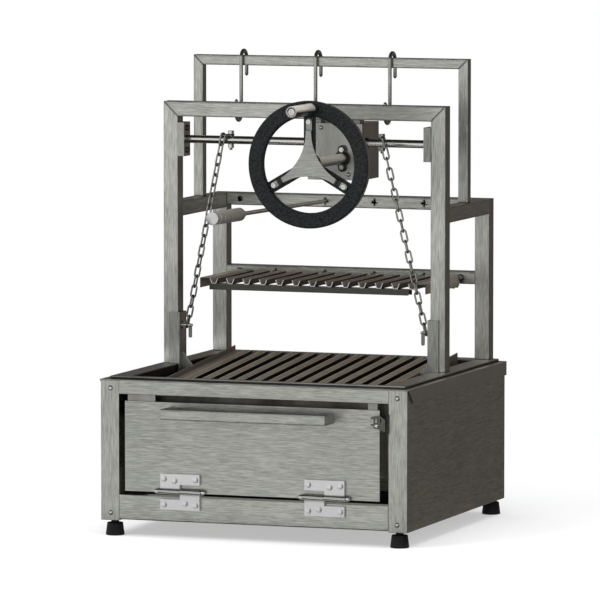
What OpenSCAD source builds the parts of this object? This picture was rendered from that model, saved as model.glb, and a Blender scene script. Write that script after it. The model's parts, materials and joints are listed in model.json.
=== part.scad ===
// Parrilla grill with a cabinet base, a hand-wound main grate and a warming grate above it.
// The origin is on the floor, under the middle of the overall box; +Z is up, the door faces -Y.
// All sizes are millimetres.

/* [Base] */
// Width of the base across its two sides
base_width = 635.5; // [620:0.5:660]
// Depth of the base from its front face to its rear panel
base_depth = 608; // [600:630]
// Height of the base without its feet
base_height = 278; // [270:300]
// Height of one rubber foot
foot_height = 31; // [28:40]
// Thickness of the folded sheet of the cabinet
sheet = 2; // [1.5:0.5:2]
// Width of the front face of each corner post
post_face = 38; // [34:42]
// Depth of the fold behind each corner post
post_fold = 30; // [24:36]
// Height of the rail above the door
top_rail_height = 28; // [24:32]
// Height of the sill below the door
sill_height = 48.5; // [44:52]
// Height of the sill above the bottom of the base
sill_lift = 3; // [2:5]
// Height of the skirt round the top of the base
skirt_height = 28.5; // [24:32]
// Thickness of the skirt
skirt_thick = 3; // [2:4]

/* [Fire pan] */
// Height of the rim above the top of the base
rim_height = 5; // [4:8]
// Distance from the outside of the base to the outer edge of the rim
rim_inset = 11.75; // [10:16]
// Distance from the front face of the base to the rim
rim_front = 20; // [18:24]
// Width of the front bar of the rim
rim_front_width = 10; // [8:12]
// Depth of the fire pan below the top of the base
pan_depth = 80; // [70:110]

/* [Door] */
// Gap between each end of the door and the post beside it, with the door in the middle
door_gap = 15.5; // [15:0.5:18]
// Height of the door
door_height = 178; // [170:182]
// Height of the lower edge of the door above the bottom of the base
door_lift = 59; // [58:62]
// How far the middle of the door lies to the left of the middle of the base
door_offset = 2.75; // [0:0.25:3]
// Depth of the folds at the two ends of the door
door_fold = 44; // [30:45]
// Thickness of the hinge leaves
leaf_thick = 6; // [4:0.5:7]
// Diameter of the hinge knuckles
knuckle_size = 12; // [10:0.5:13]
// Distance from the middle of the base to the middle of each hinge
hinge_spacing = 150; // [140:160]
// Height of the hinge pins above the bottom of the base
hinge_height = 62.3; // [61:0.1:64]
// Length of the handle
handle_length = 341; // [300:400]
// Size of the square tube of the handle
handle_bar = 20; // [16:24]
// How far the handle stands out from the door
handle_reach = 53; // [45:70]
// Height of the middle of the handle above the bottom of the base
handle_height = 218.2; // [200:222]

/* [Frame] */
// Size of the square tube of the uprights
tube = 30; // [25:30]
// Wall thickness of the square tubes
wall = 1.5; // [1:0.5:2]
// Distance from the outside of the base in to the uprights
frame_inset = 21.15; // [20:0.05:24]
// Height of the front uprights and crossbar above the rim
portal_height = 525.8; // [510:0.2:540]
// Height of the side rails above the rim, to their tops
side_rail_height = 325; // [320:330]
// How far the middle of the front uprights lies behind the middle of the base
frame_set_back = 1.3; // [0:0.1:3]
// Distance from the rear of the base in to the middle of the rear uprights
rear_inset = 25.2; // [24:0.1:30]
// Height of the bars that join the rear uprights
rear_rail = 25; // [22:28]
// Height of the lower rear rail above the rim, to its top
lower_rail_height = 177.4; // [170:0.2:185]
// Size of the square tube of the hanging bar and its posts
bar_tube = 20; // [18:22]
// Height of the hanging bar above the side rails, to its top
bar_height = 286.6; // [270:0.2:300]
// Distance from the front uprights back to the hanging bar, between their middles
bar_set_back = 150.6; // [140:0.2:160]

/* [Winch] */
// Diameter of the winch shaft
shaft_size = 16; // [14:18]
// Height of the winch shaft above the rim
shaft_height = 450.1; // [440:0.1:460]
// Distance from the middle of the left chain bolt to the middle of the grill
left_bolt_x = 158.6; // [150:0.2:165]
// Distance from the middle of the right chain bolt to the middle of the grill
right_bolt_x = 159.8; // [150:0.2:165]
// How far the top of the left chain hangs outside its bolt
left_chain_out = 11; // [4:0.5:11]
// How far the top of the right chain hangs outside its bolt
right_chain_out = 6.2; // [4:0.2:11]
// How far the chains hang in front of the middle of the shaft
chain_ahead = 16; // [15.5:0.1:16.5]
// Thickness of the chain wire
wire = 3.7; // [3:0.1:3.9]
// Width of a chain link
link_width = 14; // [13.5:0.1:14.5]
// Number of links that hang in each chain
hanging_links = 19; // [19]

/* [Gearbox and handwheel] */
// Width of the gearbox
box_width = 114; // [110:118]
// Depth of the gearbox
box_depth = 101; // [90:105]
// Height of the gearbox
box_height = 112.5; // [105:113]
// Distance from the middle of the grill to the left side of the gearbox
box_x = 10; // [8:12]
// Distance from the middle of the grill to the middle of the handwheel
wheel_x = 83.5; // [80:0.5:86]
// Tooth size of the worm and its gear
tooth_module = 1.5; // [1.5]
// Number of teeth on the worm gear
gear_teeth = 16; // [16]
// Number of threads on the worm
worm_starts = 2; // [2]
// Distance between the middles of the worm and the gear
worm_drop = 30.6; // [28.6:0.1:31]
// Outer diameter of the handwheel
wheel_size = 249.5; // [240:0.5:255]
// Width of the handwheel's ring
ring_width = 30.5; // [28:0.5:32]
// Thickness of the handwheel's ring
ring_thick = 15; // [10:16]
// Distance from the front of the handwheel's ring back to the middle of the front uprights
wheel_reach = 220; // [200:230]
// Diameter of the handwheel's shaft
hub_size = 20.5; // [19:0.5:21]
// Diameter of the handwheel's knob
knob_size = 22; // [20:24]
// Length of the handwheel's knob
knob_length = 108; // [100:119]
// Distance from the middle of the handwheel to the middle of the knob
knob_radius = 110; // [106:112]

/* [Grates] */
// Gap between the side plates of both grates and the inside of the uprights
grate_gap = 27.1; // [26:0.1:32]
// Room left in the opening of the fire pan, in front of the main grate and behind it together
grate_room = 63.8; // [60:0.1:80]
// Slope of the main grate, higher at the rear
grate_slope = 4.3; // [4:0.02:5]
// Height of the side plates of the main grate below the rim, in the middle
grate_drop = 2.4; // [1:0.1:6]
// Height of the side plates of the main grate above its V bars
plate_rise = 9; // [4:12]
// Length of the warming grate
warming_length = 208; // [190:210]
// Height of the top of the warming grate above the rim
warming_height = 169.5; // [165:0.5:175]
// Number of V bars in each grate
bar_count = 13; // [13]
// Distance from the outside of a side plate to the middle of the nearest V bar
bar_margin = 29.5; // [29:0.5:32]
// Width of a V bar at its top
bar_top = 19; // [17:20]
// Width of a V bar at its bottom
bar_bottom = 9.4; // [8:0.2:10]
// Depth of a V bar
bar_depth = 12; // [10:13]
// Thickness of the grate sheet
grate_sheet = 2; // [1.5:0.5:2]
// Height of the grates' side plates
side_plate = 20; // [18:22]
// Height of the cross bars under the V bars
under_bar = 11.5; // [10:12]

/* [Hooks and skewer] */
// Thickness of the hook rod
hook_rod = 7.5; // [6:0.5:8]
// Length of a hook from the top of the bar to its lowest point
hook_drop = 133.2; // [120:0.2:140]
// Radius of the lower bend of a hook, at the middle of the rod
hook_bend = 14; // [12:16]
// Clearance between a hook and each side of its bar
hook_play = 1.9; // [1:0.1:3]
// Length of a hook's straight tail behind the bar
hook_tail = 33; // [25:40]
// Length of a hook's straight tip
hook_tip = 26; // [18:32]
// Distance of the left hook from the middle of the bar
hook_left_x = -187; // [-200:0.1:-150]
// Distance of the middle hook from the middle of the bar
hook_middle_x = -28; // [-60:0.1:20]
// Distance of the right hook from the middle of the bar
hook_right_x = 129.5; // [100:0.5:180]
// Length of the skewer in front of the rail
skewer_length = 520; // [480:540]
// Length of the skewer's grip
grip_length = 140; // [120:150]
// Diameter of the skewer's grip
grip_size = 26.5; // [24:0.5:28]
// Angle of the skewer to the left
skewer_angle = 5.5; // [3:0.5:6]

/* [Hidden] */
$fn = 48;

clear = 0.3;
running = 0.06;
steel = [0.66, 0.67, 0.66];
dark_steel = [0.42, 0.4, 0.38];
bright = [0.8, 0.81, 0.8];
black = [0.06, 0.06, 0.06];
rubber = [0.09, 0.09, 0.09];

// The middle of the base lies behind the origin, because the handle stands out further than the skirt.
mid_y = (handle_reach - skirt_thick) / 2;
front_y = mid_y - base_depth / 2;
rear_y = mid_y + base_depth / 2;
half = base_width / 2;
frame_y = mid_y + frame_set_back;
floor_z = foot_height;
top_z = floor_z + base_height;
rim_z = top_z + rim_height;
fold_x = half - post_face;
sill_z = floor_z + sill_lift;
rail_z = top_z - top_rail_height;
screw_x = half - 20.3;

// Frame positions
frame_width = base_width - 2 * frame_inset;
upright_x = (frame_width - tube) / 2;
inner_x = frame_width / 2 - tube;
back_y = rear_y - rear_inset;
side_rail_z = rim_z + side_rail_height;
bar_y = frame_y + bar_set_back;
bar_z = side_rail_z + bar_height;
rail_front_y = back_y - tube / 2;
slot_spacing = 106;
peg_size = 9.6;

// Door positions
door_width = 2 * (fold_x - door_gap);
door_left = -door_width / 2 - door_offset;
door_right = door_width / 2 - door_offset;
door_z = floor_z + door_lift;
hinge_y = front_y - leaf_thick - clear;
hinge_z = floor_z + hinge_height;
leaf_width = 82;
leg_width = 41;
leaf_strip = 20.5;
leaf_rise = 34.4;
leaf_fall = 36;
pin_length = 106;

// Fire pan positions
well_x = inner_x + 1;
lip_y = front_y + rim_front + rim_front_width;
well_rear = rail_front_y + 1;

// Stops, latch keeper, hub bearing and knob foot
stop_left = 58;
stop_right = 20;
stop_drop = 26;
stop_inset = 5;
keeper_height = 38;
keeper_drop = 46;
fold_low = 45;
bearing_flange = 32;
bearing_boss = 26;
knob_foot = 27;
collar_size = 20.5;
bolt_head = 13;
bolt_reach = 20;

// Winch positions
shaft_z = rim_z + shaft_height;
block_thick = 14.5;
block_depth = 35;
block_height = 68;
bolt_size = 6;
gear_radius = tooth_module * gear_teeth / 2;
worm_radius = worm_drop - gear_radius;
worm_lead = PI * tooth_module * worm_starts;
hub_z = shaft_z - worm_drop;
box_front = frame_y - 17;
box_top = rim_z + portal_height - tube - 7;
box_z = box_top - box_height;
box_wall = 2.5;
ring_front = frame_y - wheel_reach;
spider_thick = 6;
screw_radius = 83.5;
star_reach = 67.5;
knob_tilt = 85.4;

// Slider and grate positions
slider_wall = 3;
slider_x = inner_x - 1.9;
slider_deep = tube / 2 + 1.5;
slider_face = 22.6;
slider_height = 103.5;
pin_size = 6;
pin_rise = 76.75;
pin_head = 15;
pin_z = rim_z + pin_rise;
tab_x = slider_x - 18.7;
under_depth = 24;
rear_plate_drop = 1.5;
grate_z = rim_z - grate_drop;
grate_half = inner_x - grate_gap;
grate_length = rail_front_y - lip_y - grate_room;
bars_half = grate_half - bar_margin;
bar_pitch = 2 * bars_half / (bar_count - 1);
peg_x = grate_half - 2.1;
warming_z = rim_z + warming_height;
warming_rear = rail_front_y - 16.3;
warming_front = warming_rear - warming_length;

// Chain geometry, from the bolt on the shaft down to the pin on the slider
link_turn = (link_width - wire) / 2;
chain_top_z = shaft_z + shaft_size / 2 + wire / 2 + clear / 2;
pin_link_drop = pin_size / 2 + wire / 2 + clear;
chain_foot_x = slider_x - slider_wall - 9.7;
function chain_top(bolt_x, out) = [bolt_x + out, frame_y - chain_ahead, chain_top_z];
function chain_way(bolt_x, out) = [chain_foot_x, frame_y, pin_z] - chain_top(bolt_x, out);
longest = max(norm(chain_way(left_bolt_x, left_chain_out)), norm(chain_way(right_bolt_x, right_chain_out)));
link_span = (longest + pin_link_drop + hanging_links * (wire + clear)) / hanging_links;

module post_fold_up(side) {
  color(steel) mirror([side < 0 ? 1 : 0, 0, 0]) difference() {
    union() {
      translate([half - sheet, front_y, floor_z])
        cube([sheet, base_depth - sheet, base_height - sheet]);
      translate([fold_x, front_y, floor_z])
        cube([post_face, sheet, base_height - sheet]);
      translate([fold_x, front_y, sill_z + sill_height])
        cube([sheet, post_fold, rail_z - sill_z - sill_height]);
      translate([fold_x, front_y, floor_z])
        cube([post_face, base_depth - sheet, sheet]);
      translate([half - post_fold, rear_y - 2 * sheet, floor_z])
        cube([post_fold, sheet, base_height - sheet]);
    }
    for (z = [screw_low_z(), screw_high_z()])
      translate([screw_x, front_y - 1, z]) rotate([-90, 0, 0]) cylinder(d = 5.2, h = sheet + 2);
    for (y = foot_rows())
      translate([foot_x(), y, floor_z - 1]) cylinder(d = 8.4, h = sheet + 2);
  }
}

function screw_low_z() = floor_z + 14.8;
function screw_high_z() = top_z - 17;
function foot_x() = half - 21.75;
function foot_rows() = [front_y + 20, rear_y - 20];

module side_panels() {
  for (side = [-1, 1]) post_fold_up(side);
}

module rear_panel() {
  color(steel) translate([-half, rear_y - sheet, floor_z])
    cube([base_width, sheet, base_height - sheet]);
}

module floor_panel() {
  color(dark_steel) difference() {
    translate([-half + sheet, front_y + 2 * sheet, floor_z + sheet])
      cube([base_width - 2 * sheet, base_depth - 4 * sheet, sheet]);
    for (side = [-1, 1], y = foot_rows())
      translate([side * foot_x(), y, floor_z]) cylinder(d = 8.4, h = 3 * sheet);
  }
}

// A folded front rail with tabs that the corner screws hold behind the posts
module front_rail(low, high, flange_z, tab_low, tab_high, screw_z) {
  difference() {
    union() {
      translate([-fold_x + clear, front_y, low])
        cube([2 * fold_x - 2 * clear, sheet, high - low]);
      translate([-fold_x + clear, front_y, flange_z])
        cube([2 * fold_x - 2 * clear, post_fold - 6, sheet]);
      for (side = [-1, 1])
        translate([side > 0 ? fold_x - 12 : -screw_x - 8, front_y + sheet, tab_low])
          cube([screw_x + 20 - fold_x, sheet, tab_high - tab_low]);
    }
    for (side = [-1, 1])
      translate([side * screw_x, front_y, screw_z]) rotate([-90, 0, 0]) cylinder(d = 5.2, h = 3 * sheet);
  }
}

module top_rail() {
  color(steel) front_rail(rail_z, top_z - sheet, rail_z, rail_z + sheet, rail_z + 20, screw_high_z());
}

module sill() {
  color(steel) difference() {
    front_rail(sill_z, sill_z + sill_height, sill_z + sill_height - sheet,
      floor_z + 2 * sheet + clear, floor_z + 26, screw_low_z());
    for (side = [-1, 1]) translate([side * hinge_spacing, front_y - 1, hinge_z])
      for (p = leaf_screws(-side, leaf_fall))
        translate([p[0], 0, -p[1]]) rotate([-90, 0, 0]) cylinder(d = 5.2, h = sheet + 2);
  }
}

module skirt_side() {
  translate([half + skirt_thick, 0, 0]) rotate([90, 0, -90]) linear_extrude(skirt_thick)
    polygon([[-front_y, top_z], [-rear_y - skirt_thick, top_z],
      [-rear_y - skirt_thick, top_z - skirt_height], [-front_y - skirt_height, top_z - skirt_height]]);
}

module top_surround() {
  color(steel) {
    difference() {
      translate([-half - skirt_thick, front_y, top_z - sheet])
        cube([base_width + 2 * skirt_thick, base_depth + skirt_thick, sheet]);
      translate([-well_x - sheet - 0.4, lip_y - sheet - 1.4, top_z - sheet - 1])
        cube([2 * well_x + 2 * sheet + 0.8, well_rear - lip_y + 2 * sheet + 1.8, sheet + 2]);
    }
    skirt_side();
    mirror([1, 0, 0]) skirt_side();
    translate([-half, rear_y, top_z - skirt_height])
      cube([base_width, skirt_thick, skirt_height]);
  }
}

module fire_pan() {
  rim_x = half - rim_inset;
  color(dark_steel) {
    difference() {
      translate([-rim_x, front_y + rim_front, top_z])
        cube([2 * rim_x, rear_y - 3 - front_y - rim_front, rim_height]);
      translate([-inner_x, lip_y, top_z - 1])
        cube([2 * inner_x, rail_front_y - lip_y, rim_height + 2]);
    }
    difference() {
      translate([-well_x - sheet, lip_y - 1 - sheet, top_z - pan_depth])
        cube([2 * (well_x + sheet), well_rear - lip_y + 1 + 2 * sheet, pan_depth]);
      translate([-well_x, lip_y - 1, top_z - pan_depth + sheet])
        cube([2 * well_x, well_rear - lip_y + 1, pan_depth]);
    }
  }
}

module door_stops() {
  color(dark_steel) for (side = [-1, 1])
    translate([side < 0 ? door_left + stop_inset : door_right - stop_inset - stop_right,
      front_y + sheet + clear, rail_z - stop_drop])
      cube([side < 0 ? stop_left : stop_right, sheet, stop_drop]);
}

// A domed screw head on a short shank, along -Y
module dome_screw(head, rise, shank, length) {
  ball = (head * head / 4 + rise * rise) / (2 * rise);
  rotate([90, 0, 0]) {
    intersection() {
      translate([0, 0, rise - ball]) sphere(ball);
      cylinder(d = head + 2, h = rise + 1);
    }
    translate([0, 0, -length]) cylinder(d = shank, h = length);
  }
}

module frame_screws() {
  color(bright) for (side = [-1, 1], z = [screw_low_z(), screw_high_z()])
    translate([side * screw_x, front_y, z]) dome_screw(10, 2.6, 5, 2 * sheet + 2);
}

module feet() {
  color(rubber) for (side = [-1, 1], y = foot_rows()) translate([side * foot_x(), y, 0]) {
    rotate_extrude() polygon([[0, 0], [17.5, 0], [18.5, 1], [18.5, 3], [15.8, foot_height - 7],
      [14.8, foot_height - 6], [7.75, foot_height - 6], [7.75, foot_height], [4, foot_height],
      [4, foot_height + 2 * sheet + 4], [0, foot_height + 2 * sheet + 4]]);
  }
}

// One hinge leaf: a strip across its top, a leg down to the pin and its knuckle
module hinge_leaf(leg_side, rise) {
  difference() {
    union() {
      translate([-leaf_width / 2, 0, rise - leaf_strip])
        cube([leaf_width, leaf_thick, leaf_strip]);
      translate([leg_side < 0 ? -leg_width : 0.2, 0, 0])
        cube([leg_width - 0.2, leaf_thick, rise - leaf_strip]);
      translate([leg_side < 0 ? -pin_length / 2 + 8 : 0.2, 0, 0]) rotate([0, 90, 0])
        cylinder(d = knuckle_size, h = pin_length / 2 - 8.2);
    }
    translate([-leaf_width, 0, 0]) rotate([0, 90, 0]) cylinder(d = hinge_bore(), h = 2 * leaf_width);
    for (p = leaf_screws(leg_side, rise))
      translate([p[0], -1, p[1]]) rotate([-90, 0, 0]) cylinder(d = 5.2, h = leaf_thick + 2);
  }
}

function hinge_bore() = 6;
// Screw places on a leaf, measured from the pin: one near each end and one over the leg
function leaf_screws(leg_side, rise) = [[-33, rise - 9.5], [leg_side * 11, rise - 13], [33, rise - 10]];

module at_hinges() {
  for (side = [-1, 1]) translate([side * hinge_spacing, hinge_y, hinge_z]) children(side < 0 ? 0 : 1);
}

module hinge_leaves_fixed() {
  color(bright) at_hinges() {
    mirror([0, 0, 1]) hinge_leaf(1, leaf_fall);
    mirror([0, 0, 1]) hinge_leaf(-1, leaf_fall);
  }
}

module hinge_leaves_moving() {
  color(bright) at_hinges() {
    hinge_leaf(-1, leaf_rise);
    hinge_leaf(1, leaf_rise);
  }
}

module hinge_pins() {
  color(bright) for (side = [-1, 1]) translate([side * hinge_spacing, hinge_y, hinge_z])
    rotate([0, 90, 0]) rotate_extrude() polygon([[0, -pin_length / 2], [3, -pin_length / 2],
      [5, -pin_length / 2 + 4], [5, -pin_length / 2 + 7.8], [hinge_bore() / 2 - running, -pin_length / 2 + 7.8],
      [hinge_bore() / 2 - running, pin_length / 2 - 7.8], [5, pin_length / 2 - 7.8],
      [5, pin_length / 2 - 4], [3, pin_length / 2], [0, pin_length / 2]]);
}

module hinge_screws() {
  color(bright) {
    for (side = [-1, 1]) translate([side * hinge_spacing, hinge_y, hinge_z])
      for (p = leaf_screws(side, leaf_rise))
        translate([p[0], 0, p[1]]) dome_screw(12.5, 3, 5, leaf_thick + sheet + 2);
  }
}

module sill_screws() {
  color(bright) {
    for (side = [-1, 1]) translate([side * hinge_spacing, hinge_y, hinge_z])
      for (p = leaf_screws(-side, leaf_fall))
        translate([p[0], 0, -p[1]]) dome_screw(12.5, 3, 5, leaf_thick + sheet + 2);
  }
}

module latch_keeper() {
  color(dark_steel) translate([fold_x - sheet, front_y - 8, door_z + door_height - keeper_drop])
    cube([sheet, post_fold - 2, keeper_height]);
}

module door_panel() {
  color(steel) difference() {
    union() {
      translate([door_left, front_y, door_z]) cube([door_width, sheet, door_height]);
      for (x = [door_left, door_right - sheet])
        translate([x, front_y, door_z + fold_low])
          cube([sheet, door_fold, door_height - fold_low - keeper_drop]);
    }
    for (side = [-1, 1]) translate([side * hinge_spacing, front_y - 1, hinge_z])
      for (p = leaf_screws(side, leaf_rise))
        translate([p[0], 0, p[1]]) rotate([-90, 0, 0]) cylinder(d = 5.2, h = sheet + 2);
    translate([latch_x(), front_y - 1, latch_z()]) rotate([-90, 0, 0]) cylinder(d = 5.2, h = sheet + 2);
  }
}

// The handle is one bar and two legs of square tube, mitred at both corners.
module door_handle() {
  x0 = -handle_length / 2 - door_offset;
  x1 = handle_length / 2 - door_offset;
  y0 = front_y - handle_reach;
  z0 = floor_z + handle_height - handle_bar / 2;
  color(bright) difference() {
    translate([x0, y0, z0]) cube([handle_length, handle_reach, handle_bar]);
    translate([x0 + handle_bar, y0 + handle_bar, z0 - 1])
      cube([handle_length - 2 * handle_bar, handle_reach, handle_bar + 2]);
    for (x = [x0 + wall, x1 - handle_bar + wall])
      translate([x, y0 + wall, z0 + wall])
        cube([handle_bar - 2 * wall, handle_reach, handle_bar - 2 * wall]);
    translate([x0 + wall, y0 + wall, z0 + wall])
      cube([handle_length - 2 * wall, handle_bar - 2 * wall, handle_bar - 2 * wall]);
  }
}

function latch_x() = door_right - 6;
function latch_z() = door_z + door_height - 30;

module turn_latch() {
  right = latch_x() + 18;
  z = latch_z();
  color(dark_steel) translate([0, front_y - clear, 0]) rotate([90, 0, 0]) difference() {
    linear_extrude(sheet) difference() {
      polygon([[latch_x() - 11.6, z - 0.5], [latch_x() - 5.8, z - 0.5], [latch_x() - 5.8, z - 4.8],
        [latch_x() - 4, z - 6], [latch_x() + 2, z - 6], [right, z - 12], [right, z + 12],
        [latch_x() + 6, z + 19.5], [latch_x() - 2, z + 18.5], [latch_x() - 11.6, z + 16],
        [latch_x() - 11.6, z + 12.4], [latch_x() - 5.8, z + 12.4], [latch_x() - 5.8, z + 3],
        [latch_x() - 11.6, z + 3]]);
      translate([latch_x() - 4, z + 5]) square([5, 8]);
      translate([latch_x() + 4.4, z + 6]) square([5, 8]);
      translate([latch_x(), z]) circle(d = 5.2);
    }
  }
}

module latch_rivet() {
  color(bright) translate([latch_x(), front_y - clear - sheet - 0.1, latch_z()])
    dome_screw(8.5, 2.2, 5, 2 * sheet + clear + 1.5);
}

// A length of square tube along +Z whose top is mitred down towards +X
module mitred_post(height, size) {
  difference() {
    translate([0, size / 2, 0]) rotate([90, 0, 0]) linear_extrude(size)
      polygon([[0, 0], [size, 0], [size, height - size], [0, height]]);
    translate([wall, wall - size / 2, -1]) cube([size - 2 * wall, size - 2 * wall, height + 2]);
  }
}

// A length of square tube along X with both ends mitred down to the posts
module mitred_bar(width, size) {
  difference() {
    translate([0, size / 2, -size]) rotate([90, 0, 0]) linear_extrude(size)
      polygon([[-width / 2, size], [width / 2, size], [width / 2 - size, 0], [size - width / 2, 0]]);
    translate([-width / 2 - 1, wall - size / 2, wall - size])
      cube([width + 2, size - 2 * wall, size - 2 * wall]);
  }
}

module front_upright(side) {
  color(steel) mirror([side < 0 ? 0 : 1, 0, 0]) difference() {
    translate([-frame_width / 2, frame_y, rim_z]) mitred_post(portal_height, tube);
    for (z = block_bolt_rows())
      translate([-inner_x - 2 * wall, frame_y, z]) rotate([0, 90, 0]) cylinder(d = bolt_size + 0.2, h = 3 * wall);
  }
}

function block_bolt_rows() = [shaft_z - 22, shaft_z + 22];

module front_uprights() {
  for (side = [-1, 1]) front_upright(side);
}

module crossbar() {
  color(steel) translate([0, frame_y, rim_z + portal_height]) mitred_bar(frame_width, tube);
}

module rear_upright(side) {
  color(steel) difference() {
    translate([side * upright_x - tube / 2, back_y - tube / 2, rim_z]) cube([tube, tube, side_rail_height]);
    translate([side * upright_x - tube / 2 + wall, back_y - tube / 2 + wall, rim_z - 1])
      cube([tube - 2 * wall, tube - 2 * wall, side_rail_height + 1 - wall]);
  }
}

module rear_uprights() {
  for (side = [-1, 1]) rear_upright(side);
}

module side_rail(side) {
  start = frame_y + tube / 2;
  length = back_y - frame_y - tube;
  color(steel) difference() {
    translate([side * upright_x - tube / 2, start, side_rail_z - tube]) cube([tube, length, tube]);
    translate([side * upright_x - tube / 2 + wall, start - 1, side_rail_z - tube + wall])
      cube([tube - 2 * wall, length + 2, tube - 2 * wall]);
  }
}

module side_rails() {
  for (side = [-1, 1]) side_rail(side);
}

// A rear rail with four cross-shaped slots and two round peg holes through both walls
module rear_rail_bar(top) {
  middle = top - rear_rail / 2;
  color(steel) difference() {
    translate([-inner_x, rail_front_y, top - rear_rail]) cube([2 * inner_x, tube, rear_rail]);
    translate([-inner_x - 1, rail_front_y + wall, top - rear_rail + wall])
      cube([2 * inner_x + 2, tube - 2 * wall, rear_rail - 2 * wall]);
    for (i = [-1.5:1.5]) {
      translate([i * slot_spacing - 6.5, rail_front_y - 1, middle - 1.7]) cube([13, tube + 2, 3.4]);
      translate([i * slot_spacing - 1.7, rail_front_y - 1, middle - 6.5]) cube([3.4, tube + 2, 13]);
    }
    for (x = [-peg_x, peg_x])
      translate([x, rail_front_y - 1, middle]) rotate([-90, 0, 0]) cylinder(d = 10, h = tube + 2);
  }
}

module rear_rails() {
  for (top = [side_rail_z, rim_z + lower_rail_height]) rear_rail_bar(top);
}

module hanging_post(side) {
  color(steel) mirror([side < 0 ? 0 : 1, 0, 0])
    translate([-upright_x - bar_tube / 2, bar_y, side_rail_z]) mitred_post(bar_height, bar_tube);
}

module hanging_posts() {
  for (side = [-1, 1]) hanging_post(side);
}

module hanging_bar() {
  color(steel) translate([0, bar_y, bar_z]) mitred_bar(2 * upright_x + bar_tube, bar_tube);
}

module shaft_blocks() {
  color(dark_steel) for (side = [-1, 1]) mirror([side < 0 ? 1 : 0, 0, 0]) difference() {
    translate([inner_x - block_thick, frame_y - block_depth / 2, shaft_z - block_height / 2])
      cube([block_thick, block_depth, block_height]);
    translate([inner_x - block_thick - 1, frame_y, shaft_z]) rotate([0, 90, 0])
      cylinder(d = shaft_size + 2 * running, h = block_thick + 2);
    for (z = block_bolt_rows()) translate([inner_x - block_thick - 1, frame_y, z]) rotate([0, 90, 0])
      cylinder(d = bolt_size + 0.2, h = block_thick + 2);
  }
}

module block_bolts() {
  color(bright) for (side = [-1, 1], z = block_bolt_rows()) mirror([side < 0 ? 1 : 0, 0, 0])
    translate([inner_x - block_thick, frame_y, z]) rotate([0, -90, 0]) {
      cylinder(d = 11.5, h = 4, $fn = 6);
      translate([0, 0, -block_thick - wall - 5]) cylinder(d = bolt_size, h = block_thick + wall + 5);
    }
}

module gearbox_case() {
  inside = box_width - 2 * box_wall;
  color(dark_steel) {
    difference() {
      translate([box_x, box_front + box_wall, box_z]) cube([box_width, box_depth - box_wall, box_height]);
      translate([box_x + box_wall, box_front, box_z + box_wall])
        cube([inside, box_depth - box_wall, box_height - 2 * box_wall]);
      translate([box_x - 1, frame_y, shaft_z]) rotate([0, 90, 0])
        cylinder(d = shaft_size + 2 * running, h = box_width + 2);
      translate([wheel_x, frame_y, hub_z]) rotate([-90, 0, 0])
        cylinder(d = 12 + 2 * running, h = box_depth);
    }
    for (x = [box_x + 6, box_x + box_width - 26])
      translate([x, frame_y - tube / 2 + 2, box_top]) cube([20, tube - 4, 7]);
    for (x = case_screw_x(), z = case_screw_z()) difference() {
      translate([x - 6, box_front + box_wall, z < hub_z ? box_z + box_wall : z - 6])
        cube([12, 8, z < hub_z ? z + 6 - box_z - box_wall : box_top - box_wall - z + 6]);
      translate([x, box_front, z]) rotate([-90, 0, 0]) cylinder(d = 5.2, h = 12);
    }
  }
}

function case_screw_x() = [box_x + 28, box_x + box_width - 28.2];
function case_screw_z() = [box_z + 11.5, box_top - 9];

module gearbox_front() {
  color(steel) difference() {
    translate([box_x, box_front, box_z]) cube([box_width, box_wall, box_height]);
    translate([wheel_x, box_front - 1, hub_z]) rotate([-90, 0, 0]) cylinder(d = hub_size + 1.5, h = box_wall + 2);
    for (x = case_screw_x(), z = case_screw_z())
      translate([x, box_front - 1, z]) rotate([-90, 0, 0]) cylinder(d = 5.2, h = box_wall + 2);
    for (side = [-1, 1]) translate([wheel_x, box_front - 1, hub_z + side * bearing_bolt()])
      rotate([-90, 0, 0]) cylinder(d = 5.2, h = box_wall + 2);
  }
}

function bearing_bolt() = 17.5;

module gearbox_screws() {
  color(bright) for (x = case_screw_x(), z = case_screw_z())
    translate([x, box_front, z]) dome_screw(9, 2.6, 5, box_wall + 4);
}

module hub_bearing() {
  color(bright) translate([wheel_x, box_front, hub_z]) rotate([90, 0, 0]) difference() {
    union() {
      translate([-9, -bearing_bolt(), 0]) cube([18, 2 * bearing_bolt(), 5]);
      for (side = [-1, 1]) translate([0, side * bearing_bolt(), 0]) cylinder(d = 18, h = 5);
      cylinder(d = bearing_flange, h = 5);
      cylinder(d = bearing_boss, h = 12);
    }
    translate([0, 0, -1]) cylinder(d = hub_size + 2 * running, h = 14);
    for (side = [-1, 1]) translate([0, side * bearing_bolt(), -1]) cylinder(d = 5.2, h = 7);
  }
}

module bearing_bolts() {
  color(bright) for (side = [-1, 1]) translate([wheel_x, box_front - 5, hub_z + side * bearing_bolt()])
    rotate([90, 0, 0]) {
      cylinder(d = 10.5, h = 4, $fn = 6);
      translate([0, 0, -8]) cylinder(d = 5, h = 14);
    }
}

module winch_shaft() {
  reach = inner_x - 1.5;
  color(bright) difference() {
    translate([-reach, frame_y, shaft_z]) rotate([0, 90, 0]) cylinder(d = shaft_size, h = 2 * reach);
    for (x = [-left_bolt_x, right_bolt_x])
      translate([x, frame_y, shaft_z - shaft_size]) cylinder(d = bolt_size + 0.2, h = 2 * shaft_size);
  }
}

module gear_tooth() {
  root = gear_radius - 1.7;
  tip = gear_radius + 1.2;
  polygon([[root - 1, -1.2], [root, -1.2], [tip, -0.5], [tip, 0.5], [root, 1.2], [root - 1, 1.2]]);
}

module worm_gear() {
  color(dark_steel) translate([wheel_x - 4, frame_y, shaft_z]) rotate([0, 90, 0]) difference() {
    union() {
      linear_extrude(8) union() {
        circle(gear_radius - 1.7);
        for (i = [0:gear_teeth - 1]) rotate(i * 360 / gear_teeth + 180 / gear_teeth) gear_tooth();
      }
    }
    translate([0, 0, -1]) cylinder(d = shaft_size + 0.1, h = 10);
  }
}

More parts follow.
